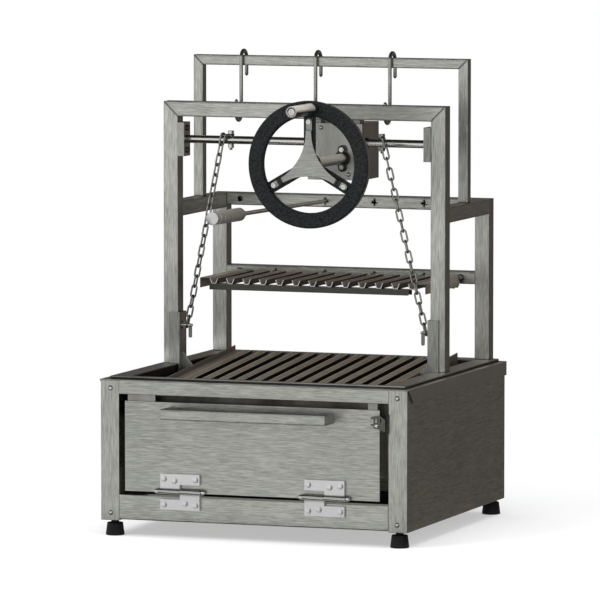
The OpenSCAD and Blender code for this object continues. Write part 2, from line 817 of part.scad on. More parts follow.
module shaft_collar() {
  color(dark_steel) translate([box_x + box_width + clear, frame_y, shaft_z]) rotate([0, 90, 0]) difference() {
    cylinder(d = collar_size, h = 9);
    translate([0, 0, -1]) cylinder(d = shaft_size + 0.1, h = 12);
  }
}

module chain_bolts() {
  head_z = shaft_size / 2 + wire + clear;
  color(bright) for (x = [-left_bolt_x, right_bolt_x]) translate([x, frame_y, shaft_z]) {
    translate([0, 0, head_z]) cylinder(d = bolt_head, h = 6.5, $fn = 6);
    translate([0, 0, -bolt_reach]) cylinder(d = bolt_size, h = bolt_reach + head_z);
    translate([0, 0, -shaft_size / 2 - 7.8]) cylinder(d = bolt_head, h = 7.5, $fn = 6);
  }
}

module worm_profile() {
  thread = 360 * tooth_module / worm_lead;
  outer = worm_radius + 1.2;
  circle(worm_radius - 1.9, $fn = 24);
  for (i = [0:worm_starts - 1]) rotate(i * 360 / worm_starts)
    polygon(concat([[0, 0]], [for (k = [0:4]) outer * [cos(thread * (k / 4 - 0.5)), sin(thread * (k / 4 - 0.5))]]));
}

module wheel_shaft() {
  half_worm = 12.5;
  turns = 2 * half_worm / worm_lead;
  back = box_front + box_depth - box_wall;
  color(bright) translate([wheel_x, 0, hub_z]) {
    translate([0, frame_y + half_worm, 0]) rotate([90, 0, 0])
      rotate(90 - 180 * turns) linear_extrude(2 * half_worm, twist = -360 * turns, slices = 30) worm_profile();
    translate([0, frame_y, 0]) rotate([-90, 0, 0]) cylinder(d = 12, h = back + box_wall - frame_y);
    translate([0, frame_y, 0]) rotate([90, 0, 0])
      cylinder(d = hub_size, h = frame_y - ring_front - ring_thick + 1);
  }
}

module ring_profile() {
  corner = 4;
  inner = wheel_size / 2 - ring_width;
  translate([inner, corner]) square([ring_width, ring_thick - 2 * corner]);
  translate([inner + corner, 0]) square([ring_width - 2 * corner, ring_thick]);
  for (x = [inner + corner, inner + ring_width - corner], y = [corner, ring_thick - corner])
    translate([x, y]) circle(corner, $fn = 32);
}

module on_wheel(depth) {
  translate([wheel_x, ring_front + depth, hub_z]) rotate([90, 0, 0]) children();
}

module wheel_ring() {
  inner = wheel_size / 2 - ring_width;
  spider_back = ring_thick - 1;
  color(black) difference() {
    union() {
      on_wheel(ring_thick) rotate_extrude($fn = 96) ring_profile();
      on_wheel(spider_back) {
        cylinder(d = 46, h = spider_thick);
        for (a = [90, 210, 330]) rotate(a) translate([0, -11.5, 0]) cube([inner + 3, 23, spider_thick]);
      }
    }
    on_wheel(ring_thick + 1) for (a = [90, 210, 330]) rotate(a)
      translate([screw_radius, 0, 0]) cylinder(d = 5.2, h = ring_thick);
    on_wheel(ring_thick + 1) rotate(knob_tilt) translate([knob_radius, 0, 0]) cylinder(d = 8.2, h = ring_thick + 3);
  }
}

// The star plate has three concave sides and stands forward of its three pads.
module star_plate() {
  pad = 12.4;
  rise = 3;
  thick = 2.5;
  plate_back = ring_thick - 1 - spider_thick - clear;
  color(steel) difference() {
    union() {
      on_wheel(plate_back - rise) linear_extrude(thick) star_flat();
      for (a = [90, 210, 330]) on_wheel(plate_back) rotate(a) {
        translate([0, pad / 2, 0]) rotate([90, 0, 0]) linear_extrude(pad)
          polygon([[star_reach - thick, 0], [screw_radius, 0], [screw_radius, thick], [star_reach + clear, thick],
            [star_reach + clear, rise + thick - clear], [star_reach - thick, rise + thick - clear]]);
        translate([screw_radius, 0, 0]) cylinder(d = pad + 2 * clear, h = thick);
      }
    }
    for (a = [90, 210, 330]) on_wheel(plate_back + 1) rotate(a)
      translate([screw_radius, 0, 0]) cylinder(d = 5.2, h = thick + 2);
  }
}

module star_flat() {
  waist = 23;
  bow = 107;
  difference() {
    circle(star_reach, $fn = 72);
    for (a = [30, 150, 270]) rotate(a) translate([bow + waist, 0]) circle(bow, $fn = 96);
  }
}

module star_screws() {
  color(bright) for (a = [90, 210, 330])
    on_wheel(ring_thick - 1 - spider_thick - clear - 2.5) rotate(a) translate([screw_radius, 0, 0]) {
      difference() {
        cylinder(d = 9, h = 4);
        translate([0, 0, 1.5]) cylinder(d = 4.6, h = 4, $fn = 6);
      }
      translate([0, 0, -8]) cylinder(d = 5, h = 8);
    }
}

module knob_spindle() {
  base = 12;
  color(bright) on_wheel(0) rotate(knob_tilt) translate([knob_radius, 0, 0]) {
    translate([0, 0, -ring_thick]) cylinder(d = 8, h = ring_thick + base + knob_length - 3);
    translate([0, 0, clear]) cylinder(d1 = knob_foot, d2 = knob_size, h = base - 2 * clear);
    translate([0, 0, base + knob_length - 7.5]) difference() {
      cylinder(d = 13, h = 6.5);
      translate([0, 0, 3]) cylinder(d = 6.9, h = 4, $fn = 6);
    }
  }
}

module crank_knob() {
  base = 12;
  color(bright) on_wheel(0) rotate(knob_tilt) translate([knob_radius, 0, base]) difference() {
    cylinder(d = knob_size, h = knob_length);
    translate([0, 0, -1]) cylinder(d = 8 + 2 * running, h = knob_length + 2);
    translate([0, 0, knob_length - 8]) cylinder(d = 16, h = 9);
  }
}

// One V-shaped bar along +Y, open at the top, with its top edges at z = 0
module v_bar(length) {
  t = grate_sheet;
  translate([0, length, 0]) rotate([90, 0, 0]) linear_extrude(length)
    polygon([[-bar_top / 2, 0], [-bar_bottom / 2, -bar_depth], [bar_bottom / 2, -bar_depth], [bar_top / 2, 0],
      [bar_top / 2 - t * 1.1, 0], [bar_bottom / 2 - t * 0.7, t - bar_depth],
      [t * 0.7 - bar_bottom / 2, t - bar_depth], [t * 1.1 - bar_top / 2, 0]]);
}

module v_bars(length) {
  for (i = [0:bar_count - 1]) translate([i * bar_pitch - bars_half, 0, 0]) v_bar(length);
}

// Side plates with their top flanges, and the two cross bars that carry the V bars
module grate_carrier(length, rise) {
  t = grate_sheet;
  flange = grate_half - bars_half - bar_top / 2 - clear;
  for (side = [-1, 1]) mirror([side < 0 ? 1 : 0, 0, 0]) {
    translate([grate_half - t, 0, -side_plate]) cube([t, length, side_plate + rise]);
    translate([grate_half - flange, 0, -t]) cube([flange, length, t]);
  }
  under_channel(0, bars_half + bar_top / 2, bars_half - 8);
  under_channel(length - under_depth, grate_half - t, grate_half - t);
}

// A channel across the grate, open below, from x = -left to x = right
module under_channel(y, left, right) {
  t = grate_sheet;
  translate([-left, y, -bar_depth - under_bar]) difference() {
    cube([left + right, under_depth, under_bar]);
    translate([-1, t, -1]) cube([left + right + 2, under_depth - 2 * t, under_bar + 1 - t]);
  }
}

module in_slope() {
  translate([0, frame_y, grate_z]) rotate([grate_slope, 0, 0])
    translate([0, -grate_length / 2, -plate_rise]) children();
}

module grate_bars() {
  color(dark_steel) in_slope() v_bars(grate_length - grate_sheet);
}

module grate_frame() {
  color(dark_steel) in_slope() {
    grate_carrier(grate_length, plate_rise);
    translate([-grate_half + grate_sheet, grate_length - grate_sheet, -side_plate])
      cube([2 * (grate_half - grate_sheet), grate_sheet, side_plate - rear_plate_drop]);
  }
}

// A channel that rides on the inner side of one front upright, with its gusset to the grate
module slider() {
  low = grate_z - side_plate + 6;
  start = rim_z + clear;
  color(steel) difference() {
    union() {
      translate([slider_x - slider_wall, frame_y - slider_deep - slider_wall, start])
        cube([slider_wall, 2 * slider_deep + 2 * slider_wall, slider_height]);
      translate([slider_x - slider_wall, frame_y - slider_deep - slider_wall, low])
        cube([slider_wall, 2 * slider_deep + 2 * slider_wall, start - low + 1]);
      for (y = [frame_y - slider_deep - slider_wall, frame_y + slider_deep])
        translate([slider_x - slider_wall, y, start]) cube([slider_face, slider_wall, slider_height]);
      translate([0, frame_y + slider_wall / 2, 0]) rotate([90, 0, 0]) linear_extrude(slider_wall)
        polygon([[slider_x - slider_wall, rim_z + 24], [grate_half, grate_z - 2], [grate_half, low],
          [slider_x - slider_wall, low]]);
    }
    translate([slider_x - slider_wall - 1, frame_y, pin_z]) rotate([0, 90, 0])
      cylinder(d = pin_size + 0.1, h = slider_wall + 2);
  }
}

module sliders() {
  for (side = [-1, 1]) mirror([side < 0 ? 1 : 0, 0, 0]) slider();
}

module chain_pins() {
  tip = tab_x - 4.5;
  color(bright) for (side = [-1, 1]) mirror([side < 0 ? 1 : 0, 0, 0]) difference() {
    union() {
      translate([tip, frame_y, pin_z]) rotate([0, 90, 0]) cylinder(d = pin_size, h = slider_x - tip + 1);
      translate([slider_x - slider_wall - 2.5, frame_y, pin_z]) rotate([0, 90, 0]) cylinder(d = pin_head, h = 2.5 - 0.05);
    }
    translate([tip - 1, frame_y - 1.7, pin_z - 5]) cube([tab_x + 4 - tip + 1, 3.4, 10]);
    translate([tab_x, frame_y - 5, pin_z]) rotate([-90, 0, 0]) cylinder(d = 2, h = 10);
  }
}

// The tab hangs in the slot at the end of its pin and keeps the chain on.
module drop_tab() {
  color(dark_steel) translate([tab_x, frame_y, pin_z]) {
    rotate([90, 0, 0]) translate([0, 0, -1.5]) difference() {
      union() {
        cylinder(d = 7, h = 3);
        translate([-3.5, -22, 0]) cube([7, 22, 3]);
        translate([0, -22, 0]) cylinder(d = 7, h = 3);
      }
    }
    rotate([90, 0, 0]) translate([0, 0, -pin_size / 2 + 0.3]) cylinder(d = 2 - 2 * running, h = pin_size - 0.6);
  }
}

module drop_tab_left() {
  mirror([1, 0, 0]) drop_tab();
}

module drop_tab_right() {
  drop_tab();
}

// One welded chain link in the XZ plane, its length along Z
module chain_link(span) {
  straight = span - 2 * link_turn;
  for (x = [-link_turn, link_turn])
    translate([x, 0, -straight / 2]) cylinder(d = wire, h = straight, $fn = 24);
  for (end = [-1, 1]) translate([0, 0, end * straight / 2]) rotate([90 * end, 0, 0])
    rotate_extrude(angle = 180, $fn = 48) translate([link_turn, 0]) circle(d = wire, $fn = 24);
}

// A flat link round the bolt on the shaft, then links that turn a little each, down to the slider pin
module chain(side, bolt_x, out) {
  top = chain_top(bolt_x, out);
  way = chain_way(bolt_x, out);
  length = norm(way);
  step = [side * way[0], way[1], way[2]] / length;
  first = link_span / 2 - wire - clear;
  last = link_span / 2 - pin_link_drop;
  pitch = (length - first - last) / (hanging_links - 1);
  tilt = acos(-step[2]);
  turn = atan2(-step[1], -step[0]);
  swing = side * atan2(out, chain_ahead);
  translate([side * bolt_x, frame_y, chain_top_z]) rotate([0, 0, swing])
    translate([0, link_span / 2 - norm([chain_ahead, out]), 0]) rotate([90, 0, 0]) chain_link(link_span);
  for (i = [0:hanging_links - 1])
    translate([side * top[0], top[1], top[2]] + step * (first + i * pitch)) rotate([0, 0, turn])
      rotate([0, tilt, 0]) rotate([0, 0, swing * (1 - i / (hanging_links - 1)) - turn + (i % 2 == 0 ? 90 : 0)])
        chain_link(link_span);
}

module chain_left() {
  color(dark_steel) chain(-1, left_bolt_x, left_chain_out);
}

module chain_right() {
  color(dark_steel) chain(1, right_bolt_x, right_chain_out);
}

module warming_bars() {
  color(dark_steel) translate([0, warming_front, warming_z]) v_bars(warming_length);
}

module warming_frame() {
  rail_middle = rim_z + lower_rail_height - rear_rail / 2;
  color(dark_steel) {
    translate([0, warming_front, warming_z]) grate_carrier(warming_length, 0);
    for (side = [-1, 1]) mirror([side < 0 ? 1 : 0, 0, 0]) {
      translate([peg_x, warming_rear - 4, rail_middle]) rotate([-90, 0, 0])
        cylinder(d = peg_size, h = rail_front_y + tube + 4 - warming_rear);
      translate([peg_x, rail_front_y - 4.3, rail_middle]) rotate([-90, 0, 0]) cylinder(d = 15, h = 4);
    }
  }
}

// An S-shaped hook over the hanging bar, its lower bend open to the front
module s_hook(x) {
  bend = bar_tube / 2 + hook_play + hook_rod / 2;
  inner = bend - hook_rod / 2;
  high = bar_z + clear - sqrt(inner * inner - bar_tube * bar_tube / 4);
  low = bar_z - hook_drop + hook_rod / 2 + hook_bend;
  color(dark_steel) translate([x, bar_y, 0]) {
    translate([0, 0, high]) hook_arc(bend, 0);
    translate([0, bend, high - hook_tail]) cylinder(d = hook_rod, h = hook_tail);
    translate([0, bend, high - hook_tail - 3]) cylinder(d1 = hook_rod / 3, d2 = hook_rod, h = 3);
    translate([0, -bend, low]) cylinder(d = hook_rod, h = high - low);
    translate([0, -bend - hook_bend, low]) hook_arc(hook_bend, 180);
    translate([0, -bend - 2 * hook_bend, low]) cylinder(d = hook_rod, h = hook_tip);
    translate([0, -bend - 2 * hook_bend, low + hook_tip]) cylinder(d1 = hook_rod, d2 = hook_rod / 3, h = 3);
  }
}

module hook_arc(radius, start) {
  rotate([90, 0, 90]) rotate(start) rotate_extrude(angle = 180) translate([radius, 0]) circle(d = hook_rod, $fn = 32);
}

module hook_left() {
  s_hook(hook_left_x);
}

module hook_middle() {
  s_hook(hook_middle_x);
}

module hook_right() {
  s_hook(hook_right_x);
}

module on_skewer(reach) {
  translate([-slot_spacing / 2, rail_front_y, side_rail_z - rear_rail / 2])
    rotate([0, 0, -skewer_angle]) translate([0, -reach, 0]) rotate([90, 0, 0]) children();
}

module skewer_rod() {
  inside = 22;
  across = 8.5;
  thick = 2.8;
  length = skewer_length - grip_length + inside + 30;
  color(bright) on_skewer(-inside) {
    translate([-across / 2, -thick / 2, 0]) cube([across, thick, length]);
    translate([-thick / 2, -across / 2, 0]) cube([thick, across, length]);
  }
}

module skewer_grip() {
  r = grip_size / 2;
  color(dark_steel) on_skewer(skewer_length - grip_length) difference() {
    rotate_extrude() polygon([[0, 0], [6.5, 0], [7.5, 1.5], [8.5, 12], [r - 0.8, 16], [r, 17.5],
      [r, 104], [r - 1.2, 105], [r - 1.2, 107], [r, 108], [r, 124], [r - 1.5, 125], [r - 1.5, 128],
      [r - 0.6, 129], [r - 0.6, 131], [r - 1.5, 132], [r - 1.5, 134], [r - 0.4, 135],
      [r - 0.4, grip_length - 2], [0, grip_length - 2]]);
    translate([0, 0, -1]) linear_extrude(32) union() {
      square([8.7, 3], center = true);
      square([3, 8.7], center = true);
    }
  }
}

module skewer_cap() {
  color(bright) on_skewer(skewer_length - 2) cylinder(d = grip_size, h = 2);
}

side_panels();
rear_panel();
floor_panel();
top_rail();
sill();
top_surround();
fire_pan();
door_stops();
frame_screws();
feet();
hinge_leaves_fixed();
hinge_pins();
sill_screws();
latch_keeper();
front_uprights();
crossbar();
rear_uprights();
side_rails();
rear_rails();
hanging_posts();
hanging_bar();
shaft_blocks();
block_bolts();
gearbox_case();
gearbox_front();
gearbox_screws();
hub_bearing();
bearing_bolts();
door_panel();
door_handle();
hinge_leaves_moving();
hinge_screws();
turn_latch();
latch_rivet();
winch_shaft();
worm_gear();
shaft_collar();
chain_bolts();
wheel_shaft();
wheel_ring();
star_plate();
star_screws();
knob_spindle();
crank_knob();
grate_bars();
grate_frame();
sliders();
chain_pins();
drop_tab_left();
drop_tab_right();
chain_left();
chain_right();
warming_bars();
warming_frame();
hook_left();
hook_middle();
hook_right();
skewer_rod();
skewer_grip();
skewer_cap();
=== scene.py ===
# %% [markdown]
# # A parrilla grill in brushed steel
# The grill stands ready as exact solids: sheet, tube, chain links and turned parts.
# This notebook gives them their finish, lights them, and sets up the photograph's view.
# The solids keep their shapes, so every step here works on materials, edges and light.

# %% load the solids
import json
import math

import bmesh
import bpy
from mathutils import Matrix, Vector


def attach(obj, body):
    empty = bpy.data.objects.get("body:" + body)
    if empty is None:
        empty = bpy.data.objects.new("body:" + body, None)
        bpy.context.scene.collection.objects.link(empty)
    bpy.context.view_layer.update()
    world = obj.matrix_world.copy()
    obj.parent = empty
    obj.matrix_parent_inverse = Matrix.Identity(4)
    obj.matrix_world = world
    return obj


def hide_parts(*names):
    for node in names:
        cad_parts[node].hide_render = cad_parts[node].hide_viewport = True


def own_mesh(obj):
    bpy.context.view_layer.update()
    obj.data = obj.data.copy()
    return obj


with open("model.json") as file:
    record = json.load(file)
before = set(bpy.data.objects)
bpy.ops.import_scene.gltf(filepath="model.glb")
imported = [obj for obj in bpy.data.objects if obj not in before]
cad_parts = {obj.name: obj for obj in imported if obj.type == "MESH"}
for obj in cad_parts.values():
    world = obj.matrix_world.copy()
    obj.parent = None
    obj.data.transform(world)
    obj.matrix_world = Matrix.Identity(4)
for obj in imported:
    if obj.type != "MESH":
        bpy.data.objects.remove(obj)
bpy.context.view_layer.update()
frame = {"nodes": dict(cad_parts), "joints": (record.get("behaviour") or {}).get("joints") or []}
nodes = frame["nodes"]
scene = bpy.context.scene

# %% [markdown]
# ## The camera
# The photograph was taken from far away with a long lens, to the right of the door and a little
# above it. A long lens keeps the lines of the frame almost parallel. The place below comes from
# matching the corners of the base and the frame to the photograph, in metres.

# %% camera
CAMERA_PLACE = Vector((4.2299, -11.7155, 1.5602))
CAMERA_AIM = Vector((-0.0095, 0.0182, 0.4489))
LENS_MM = 378.07
SENSOR_MM = 36.0


def add_camera():
    data = bpy.data.cameras.new("camera")
    data.sensor_width = SENSOR_MM
    data.lens = LENS_MM
    data.clip_end = 100.0
    camera = bpy.data.objects.new("camera", data)
    camera.location = CAMERA_PLACE
    camera.rotation_euler = (CAMERA_AIM - CAMERA_PLACE).to_track_quat("-Z", "Y").to_euler()
    scene.collection.objects.link(camera)
    scene.camera = camera
    return camera


add_camera()
print("camera at", tuple(CAMERA_PLACE), "lens", LENS_MM, "mm")

# %% [markdown]
# ## Node helpers
# Shader trees are easier to read when each line adds one node and wires it. `Tree` keeps the
# node tree and offers one short call for that, and `new_group` starts a reusable effect with
# named inputs and outputs.

# %% node helpers
FLOAT, COLOUR, VECTOR = "NodeSocketFloat", "NodeSocketColor", "NodeSocketVector"


class Tree:
    """A node tree with one call that adds a node, sets its values and wires its inputs."""

    def __init__(self, node_tree):
        self.tree = node_tree

    def add(self, kind, settings=None, **inputs):
        node = self.tree.nodes.new(kind)
        for name, value in (settings or {}).items():
            setattr(node, name, value)
        for name, value in inputs.items():
            socket = self.socket(node, name)
            if isinstance(value, bpy.types.NodeSocket):
                self.tree.links.new(value, socket)
            else:
                socket.default_value = value
        return node

    def socket(self, node, name):
        wanted = name.replace("_", " ").lower()
        if wanted.startswith("slot "):
            return node.inputs[int(wanted.split()[1])]
        return next(s for s in node.inputs if s.name.lower() == wanted and s.enabled)

    def math(self, operation, a, b=0.0):
        return self.add("ShaderNodeMath", {"operation": operation}, slot_0=a, slot_1=b).outputs[0]

    def vector(self, operation, a, b=(0.0, 0.0, 0.0)):
        return self.add("ShaderNodeVectorMath", {"operation": operation}, slot_0=a, slot_1=b).outputs[0]

    def mix(self, mask, a, b, blend="MIX"):
        node = self.add("ShaderNodeMix", {"data_type": "RGBA", "blend_type": blend})
        for index, value in ((0, mask), (6, a), (7, b)):
            if isinstance(value, bpy.types.NodeSocket):
                self.tree.links.new(value, node.inputs[index])
            else:
                node.inputs[index].default_value = value
        return node.outputs[2]

    def remap(self, value, low, high, to_low=0.0, to_high=1.0):
        node = self.add("ShaderNodeMapRange", None, Value=value)
        for name, number in (("From Min", low), ("From Max", high), ("To Min", to_low), ("To Max", to_high)):
            node.inputs[name].default_value = number
        return node.outputs[0]

    def part(self, vector, axis):
        return self.add("ShaderNodeSeparateXYZ", None, Vector=vector).outputs[axis]

    def band(self, value, low, high, soft):
        """1 between low and high, 0 outside, with soft edges."""
        rise = self.remap(value, low - soft, low + soft)
        fall = self.remap(value, high - soft, high + soft)
        return self.math("SUBTRACT", rise, fall)

    def away_from(self, vector, centre, across):
        """Distance from a line through the centre; `across` is 0 along the line and 1 beside it."""
        apart = self.vector("MULTIPLY", self.vector("SUBTRACT", vector, centre), across)
        return self.add("ShaderNodeVectorMath", {"operation": "LENGTH"}, slot_0=apart).outputs["Value"]

    def noise(self, vector, scale, detail=2.0, roughness=0.5):
        node = self.add("ShaderNodeTexNoise", None, Vector=vector, Scale=scale, Detail=detail, Roughness=roughness)
        return node.outputs[0]


def new_group(name, takes, gives):
    group = bpy.data.node_groups.new(name, "ShaderNodeTree")
    for socket_name, kind, value in takes:
        socket = group.interface.new_socket(name=socket_name, in_out="INPUT", socket_type=kind)
        socket.default_value = value
    for socket_name, kind in gives:
        group.interface.new_socket(name=socket_name, in_out="OUTPUT", socket_type=kind)
    tree = Tree(group)
    start = group.nodes.new("NodeGroupInput")
    end = group.nodes.new("NodeGroupOutput")
    return tree, start.outputs, end.inputs


print("node helpers ready")

# %% [markdown]
# ## Effect: brushed grain
# Stainless sheet and tube come with a grain: a belt has drawn fine scratches along the length.
# Noise that is squeezed across the brush and stretched along it gives such streaks. Two sizes
# are laid together, hair-fine ones and broader bands, because a belt leaves both. The group puts
# out a tone for the colour and a height for the bump.

# %% brushed grain
HAIR_WIDTH = 0.0010
BAND_WIDTH = 0.0022
ALONG_ACROSS = 18.0


def make_grain_group():
    tree, takes, gives = new_group(
        "brushed grain",
        [("Position", VECTOR, (0.0, 0.0, 0.0)), ("Brush", VECTOR, (1.0, 0.0, 0.0))],
        [("Tone", FLOAT), ("Height", FLOAT)],
    )
    across = tree.vector("SUBTRACT", (1.0, 1.0, 1.0), takes["Brush"])
    along = tree.vector("SCALE", takes["Brush"])
    along.node.inputs["Scale"].default_value = 1.0 / ALONG_ACROSS
    squeeze = tree.vector("ADD", across, along)
    place = tree.vector("MULTIPLY", takes["Position"], squeeze)
    hair = tree.noise(place, 1.0 / HAIR_WIDTH, 3.0, 0.6)
    bands = tree.noise(place, 1.0 / BAND_WIDTH, 2.0, 0.55)
    clouds = tree.noise(takes["Position"], 9.0, 2.0)
    tone = tree.math("ADD", tree.math("MULTIPLY", hair, 0.45), tree.math("MULTIPLY", bands, 0.45))
    tone = tree.math("ADD", tone, tree.math("MULTIPLY", clouds, 0.10))
    tree.tree.links.new(tone, gives["Tone"])
    tree.tree.links.new(hair, gives["Height"])
    return tree.tree


GRAIN = make_grain_group()
print("made the group", GRAIN.name)

# %% [markdown]
# ## Effect: handling marks
# No shop-new grill is perfectly even. Fingers, cloths and stacking leave soft cloudy changes in
# gloss, which show best in reflections. The group puts out one mask, and each material decides
# how much of it goes to colour and how much to roughness.

# %% handling marks
def make_marks_group():
    tree, takes, gives = new_group(
        "handling marks",
        [("Position", VECTOR, (0.0, 0.0, 0.0)), ("Size", FLOAT, 0.05)],
        [("Mask", FLOAT)],
    )
    scale = tree.math("DIVIDE", 1.0, takes["Size"])
    place = tree.add("ShaderNodeVectorMath", {"operation": "SCALE"}, slot_0=takes["Position"]).outputs[0]
    tree.tree.links.new(scale, place.node.inputs["Scale"])
    soft = tree.noise(place, 1.0, 4.0, 0.6)
    tree.tree.links.new(tree.remap(soft, 0.35, 0.65), gives["Mask"])
    return tree.tree


MARKS = make_marks_group()
print("made the group", MARKS.name)

# %% [markdown]
# ## Effect: rounded edges
# Folded sheet and drawn tube have round corners. Close to an edge the face leans over towards its
# neighbour, and a thin line there shows what lies beside or below the piece. The group puts out
# that leaning normal, and a painted shade that darkens the colour of whatever looks down towards the
# dark ground under the grill.

# %% rounded edges
SHEET_ROUND = 0.0014
FOLD_ROUND = 0.0030
TUBE_ROUND = 0.0042
UNDERSIDE_SHADE = 0.08


def make_edge_group():
    tree, takes, gives = new_group(
        "rounded edge",
        [("Radius", FLOAT, SHEET_ROUND), ("Underside", FLOAT, UNDERSIDE_SHADE)],
        [("Normal", VECTOR), ("Shade", FLOAT)],
    )
    rounded = tree.add("ShaderNodeBevel", {"samples": 6}, Radius=takes["Radius"]).outputs[0]
    lit = tree.remap(tree.part(rounded, 2), -0.28, -0.06)
    shade = tree.add("ShaderNodeMix", None, slot_0=lit, slot_2=takes["Underside"], slot_3=1.0).outputs[0]
    tree.tree.links.new(rounded, gives["Normal"])
    tree.tree.links.new(shade, gives["Shade"])
    return tree.tree


EDGE = make_edge_group()
print("made the group", EDGE.name)

# %% [markdown]
# ## Effect: light from above
# Turned parts get their light from above and look at dark things below. The group puts out 1 for
# what faces up and a darker value, chosen by each material, for what faces down: a painted shade that
# the materials multiply into their colour.

# %% light from above
def make_above_group():
    tree, takes, gives = new_group(
        "light from above",
        [("Low", FLOAT, -0.5), ("High", FLOAT, 0.6), ("Darkest", FLOAT, 0.3)],
        [("Shade", FLOAT)],
    )
    upward = tree.part(tree.add("ShaderNodeNewGeometry").outputs["Normal"], 2)
    span = tree.add("ShaderNodeMapRange", None, Value=upward)
    for name, source in (("From Min", "Low"), ("From Max", "High")):
        tree.tree.links.new(takes[source], span.inputs[name])
    shade = tree.add("ShaderNodeMix", None, slot_0=span.outputs[0], slot_2=takes["Darkest"], slot_3=1.0).outputs[0]
    tree.tree.links.new(shade, gives["Shade"])
    return tree.tree


ABOVE = make_above_group()
print("made the group", ABOVE.name)

# %% [markdown]
# ## Starting a material
# Every finish here is one Principled shader. `start_material` makes it, sets the plain numbers
# on its own sockets, and hands back the tree and the object-space position, which doesn't slide
# when a joint moves.

# %% start a material
def start_material(name, colour, metallic, roughness, **plain):
    material = bpy.data.materials.new(name)
    material.use_nodes = True
    tree = Tree(material.node_tree)
    shader = material.node_tree.nodes["Principled BSDF"]
    shader.inputs["Base Color"].default_value = (*colour, 1.0)
    shader.inputs["Metallic"].default_value = metallic
    shader.inputs["Roughness"].default_value = roughness
    for socket_name, value in plain.items():
        shader.inputs[socket_name.replace("_", " ")].default_value = value
    position = tree.add("ShaderNodeTexCoord").outputs["Object"]
    return material, tree, shader, position


def tint(tree, shader, colour, tone, spread):
    """Varies a base colour by a tone from 0 to 1, evenly above and below the written colour."""
    dark = tuple(c * (1.0 - spread) for c in colour) + (1.0,)
    light = tuple(c * (1.0 + spread) for c in colour) + (1.0,)
    tree.tree.links.new(tree.mix(tone, dark, light), shader.inputs["Base Color"])


def bump(tree, shader, height, strength, distance, normal=None):
    node = tree.add("ShaderNodeBump", None, Height=height, Strength=strength, Distance=distance)
    if normal is not None:
        tree.tree.links.new(normal, node.inputs["Normal"])
    tree.tree.links.new(node.outputs[0], shader.inputs["Normal"])


def multiply_colour(tree, shader, factor):
    """Multiplies whatever feeds the base colour by one number."""
    grey = tree.add("ShaderNodeCombineXYZ", None, X=factor, Y=factor, Z=factor).outputs[0]
    feed = shader.inputs["Base Color"].links[0].from_socket
    tree.tree.links.new(tree.mix(1.0, feed, grey, "MULTIPLY"), shader.inputs["Base Color"])


print("material starter ready")

# %% [markdown]
# ## Brushed sheet and tube
# The grain always follows the length of the piece: along the rails, up the posts. One function
# makes the finish for a given brush direction. The base sides are folded from one sheet whose
# front strip is brushed upwards and whose side is brushed lengthwise, so their material looks at
# the face's own normal to pick the direction.

# %% brushed steel
STEEL = (0.342, 0.348, 0.320)
# The door is a slightly darker copy of the sheet colour and the tubes are lighter copies: painted light and shade that
# set how bright each piece looks.
DOOR = tuple(c * 0.94 for c in STEEL)
CROSS_TUBE = tuple(c * 1.24 for c in STEEL)
UPRIGHT_TUBE = tuple(c * 1.34 for c in STEEL)
STREAK_SPREAD = 0.42
WHEEL_CENTRE = (0.0835, -0.19, 0.7335)
RAMP_REACH = (0.063, 0.075)
FOLD_LINE = 0.3150
BRUSH_X, BRUSH_Y, BRUSH_Z = (1.0, 0.0, 0.0), (0.0, 1.0, 0.0), (0.0, 0.0, 1.0)


def grain_of(tree, position, brush):
    node = tree.add("ShaderNodeGroup", {"node_tree": GRAIN})
    tree.tree.links.new(position, node.inputs["Position"])
    node.inputs["Brush"].default_value = brush
    return node.outputs["Tone"], node.outputs["Height"]


def marks_of(tree, position, size):
    node = tree.add("ShaderNodeGroup", {"node_tree": MARKS})
    tree.tree.links.new(position, node.inputs["Position"])
    node.inputs["Size"].default_value = size
    return node.outputs["Mask"]


def finish_brushed(tree, shader, position, tone, height, colour, rough,
                   spread=STREAK_SPREAD, radius=SHEET_ROUND, side=1.0, back=1.0, top=1.0, under=UNDERSIDE_SHADE):
    """Streaks, rounded edges and gloss; the last four multiply the colour of faces that look right, back, up and down:
    painted shade below 1, a painted highlight above 1.
    """
    contrast = tree.remap(tone, 0.34, 0.66)
    tint(tree, shader, colour, contrast, spread)
    edge = tree.add("ShaderNodeGroup", {"node_tree": EDGE})
    edge.inputs["Radius"].default_value = radius
    edge.inputs["Underside"].default_value = under
    normal = tree.add("ShaderNodeNewGeometry").outputs["True Normal"]
    shade = edge.outputs["Shade"]
    for axis, factor in ((0, side), (1, back), (2, top)):
        if factor != 1.0:
            shade = tree.math("MULTIPLY", shade, tree.remap(tree.part(normal, axis), 0.7, 0.9, 1.0, factor))
    multiply_colour(tree, shader, shade)
    marks = marks_of(tree, position, 0.07)
    tree.tree.links.new(tree.remap(marks, 0.0, 1.0, rough - 0.03, rough + 0.04), shader.inputs["Roughness"])
    bump(tree, shader, height, 0.25, 0.0004, edge.outputs["Normal"])


def brushed_steel(name, brush, colour=STEEL, rough=0.33, **faces):
    material, tree, shader, position = start_material(name, colour, 1.0, rough)
    tone, height = grain_of(tree, position, brush)
    finish_brushed(tree, shader, position, tone, height, colour, rough, **faces)
    return material


def two_way_steel(name, first, second, axis, low, high):
    """Brushed along `first`, and along `second` where the face's normal points along the axis."""
    material, tree, shader, position = start_material(name, STEEL, 1.0, 0.36)
    normal = tree.add("ShaderNodeNewGeometry").outputs["True Normal"]
    facing = tree.add("ShaderNodeSeparateXYZ", None, Vector=normal).outputs[axis]
    mask = tree.remap(tree.math("ABSOLUTE", facing), low, high)
    tones = [grain_of(tree, position, brush) for brush in (first, second)]
    tone = tree.add("ShaderNodeMix", None, slot_0=mask, slot_2=tones[0][0], slot_3=tones[1][0]).outputs[0]
    height = tree.add("ShaderNodeMix", None, slot_0=mask, slot_2=tones[0][1], slot_3=tones[1][1]).outputs[0]
    finish_brushed(tree, shader, position, tone, height, STEEL, 0.36)
    return material


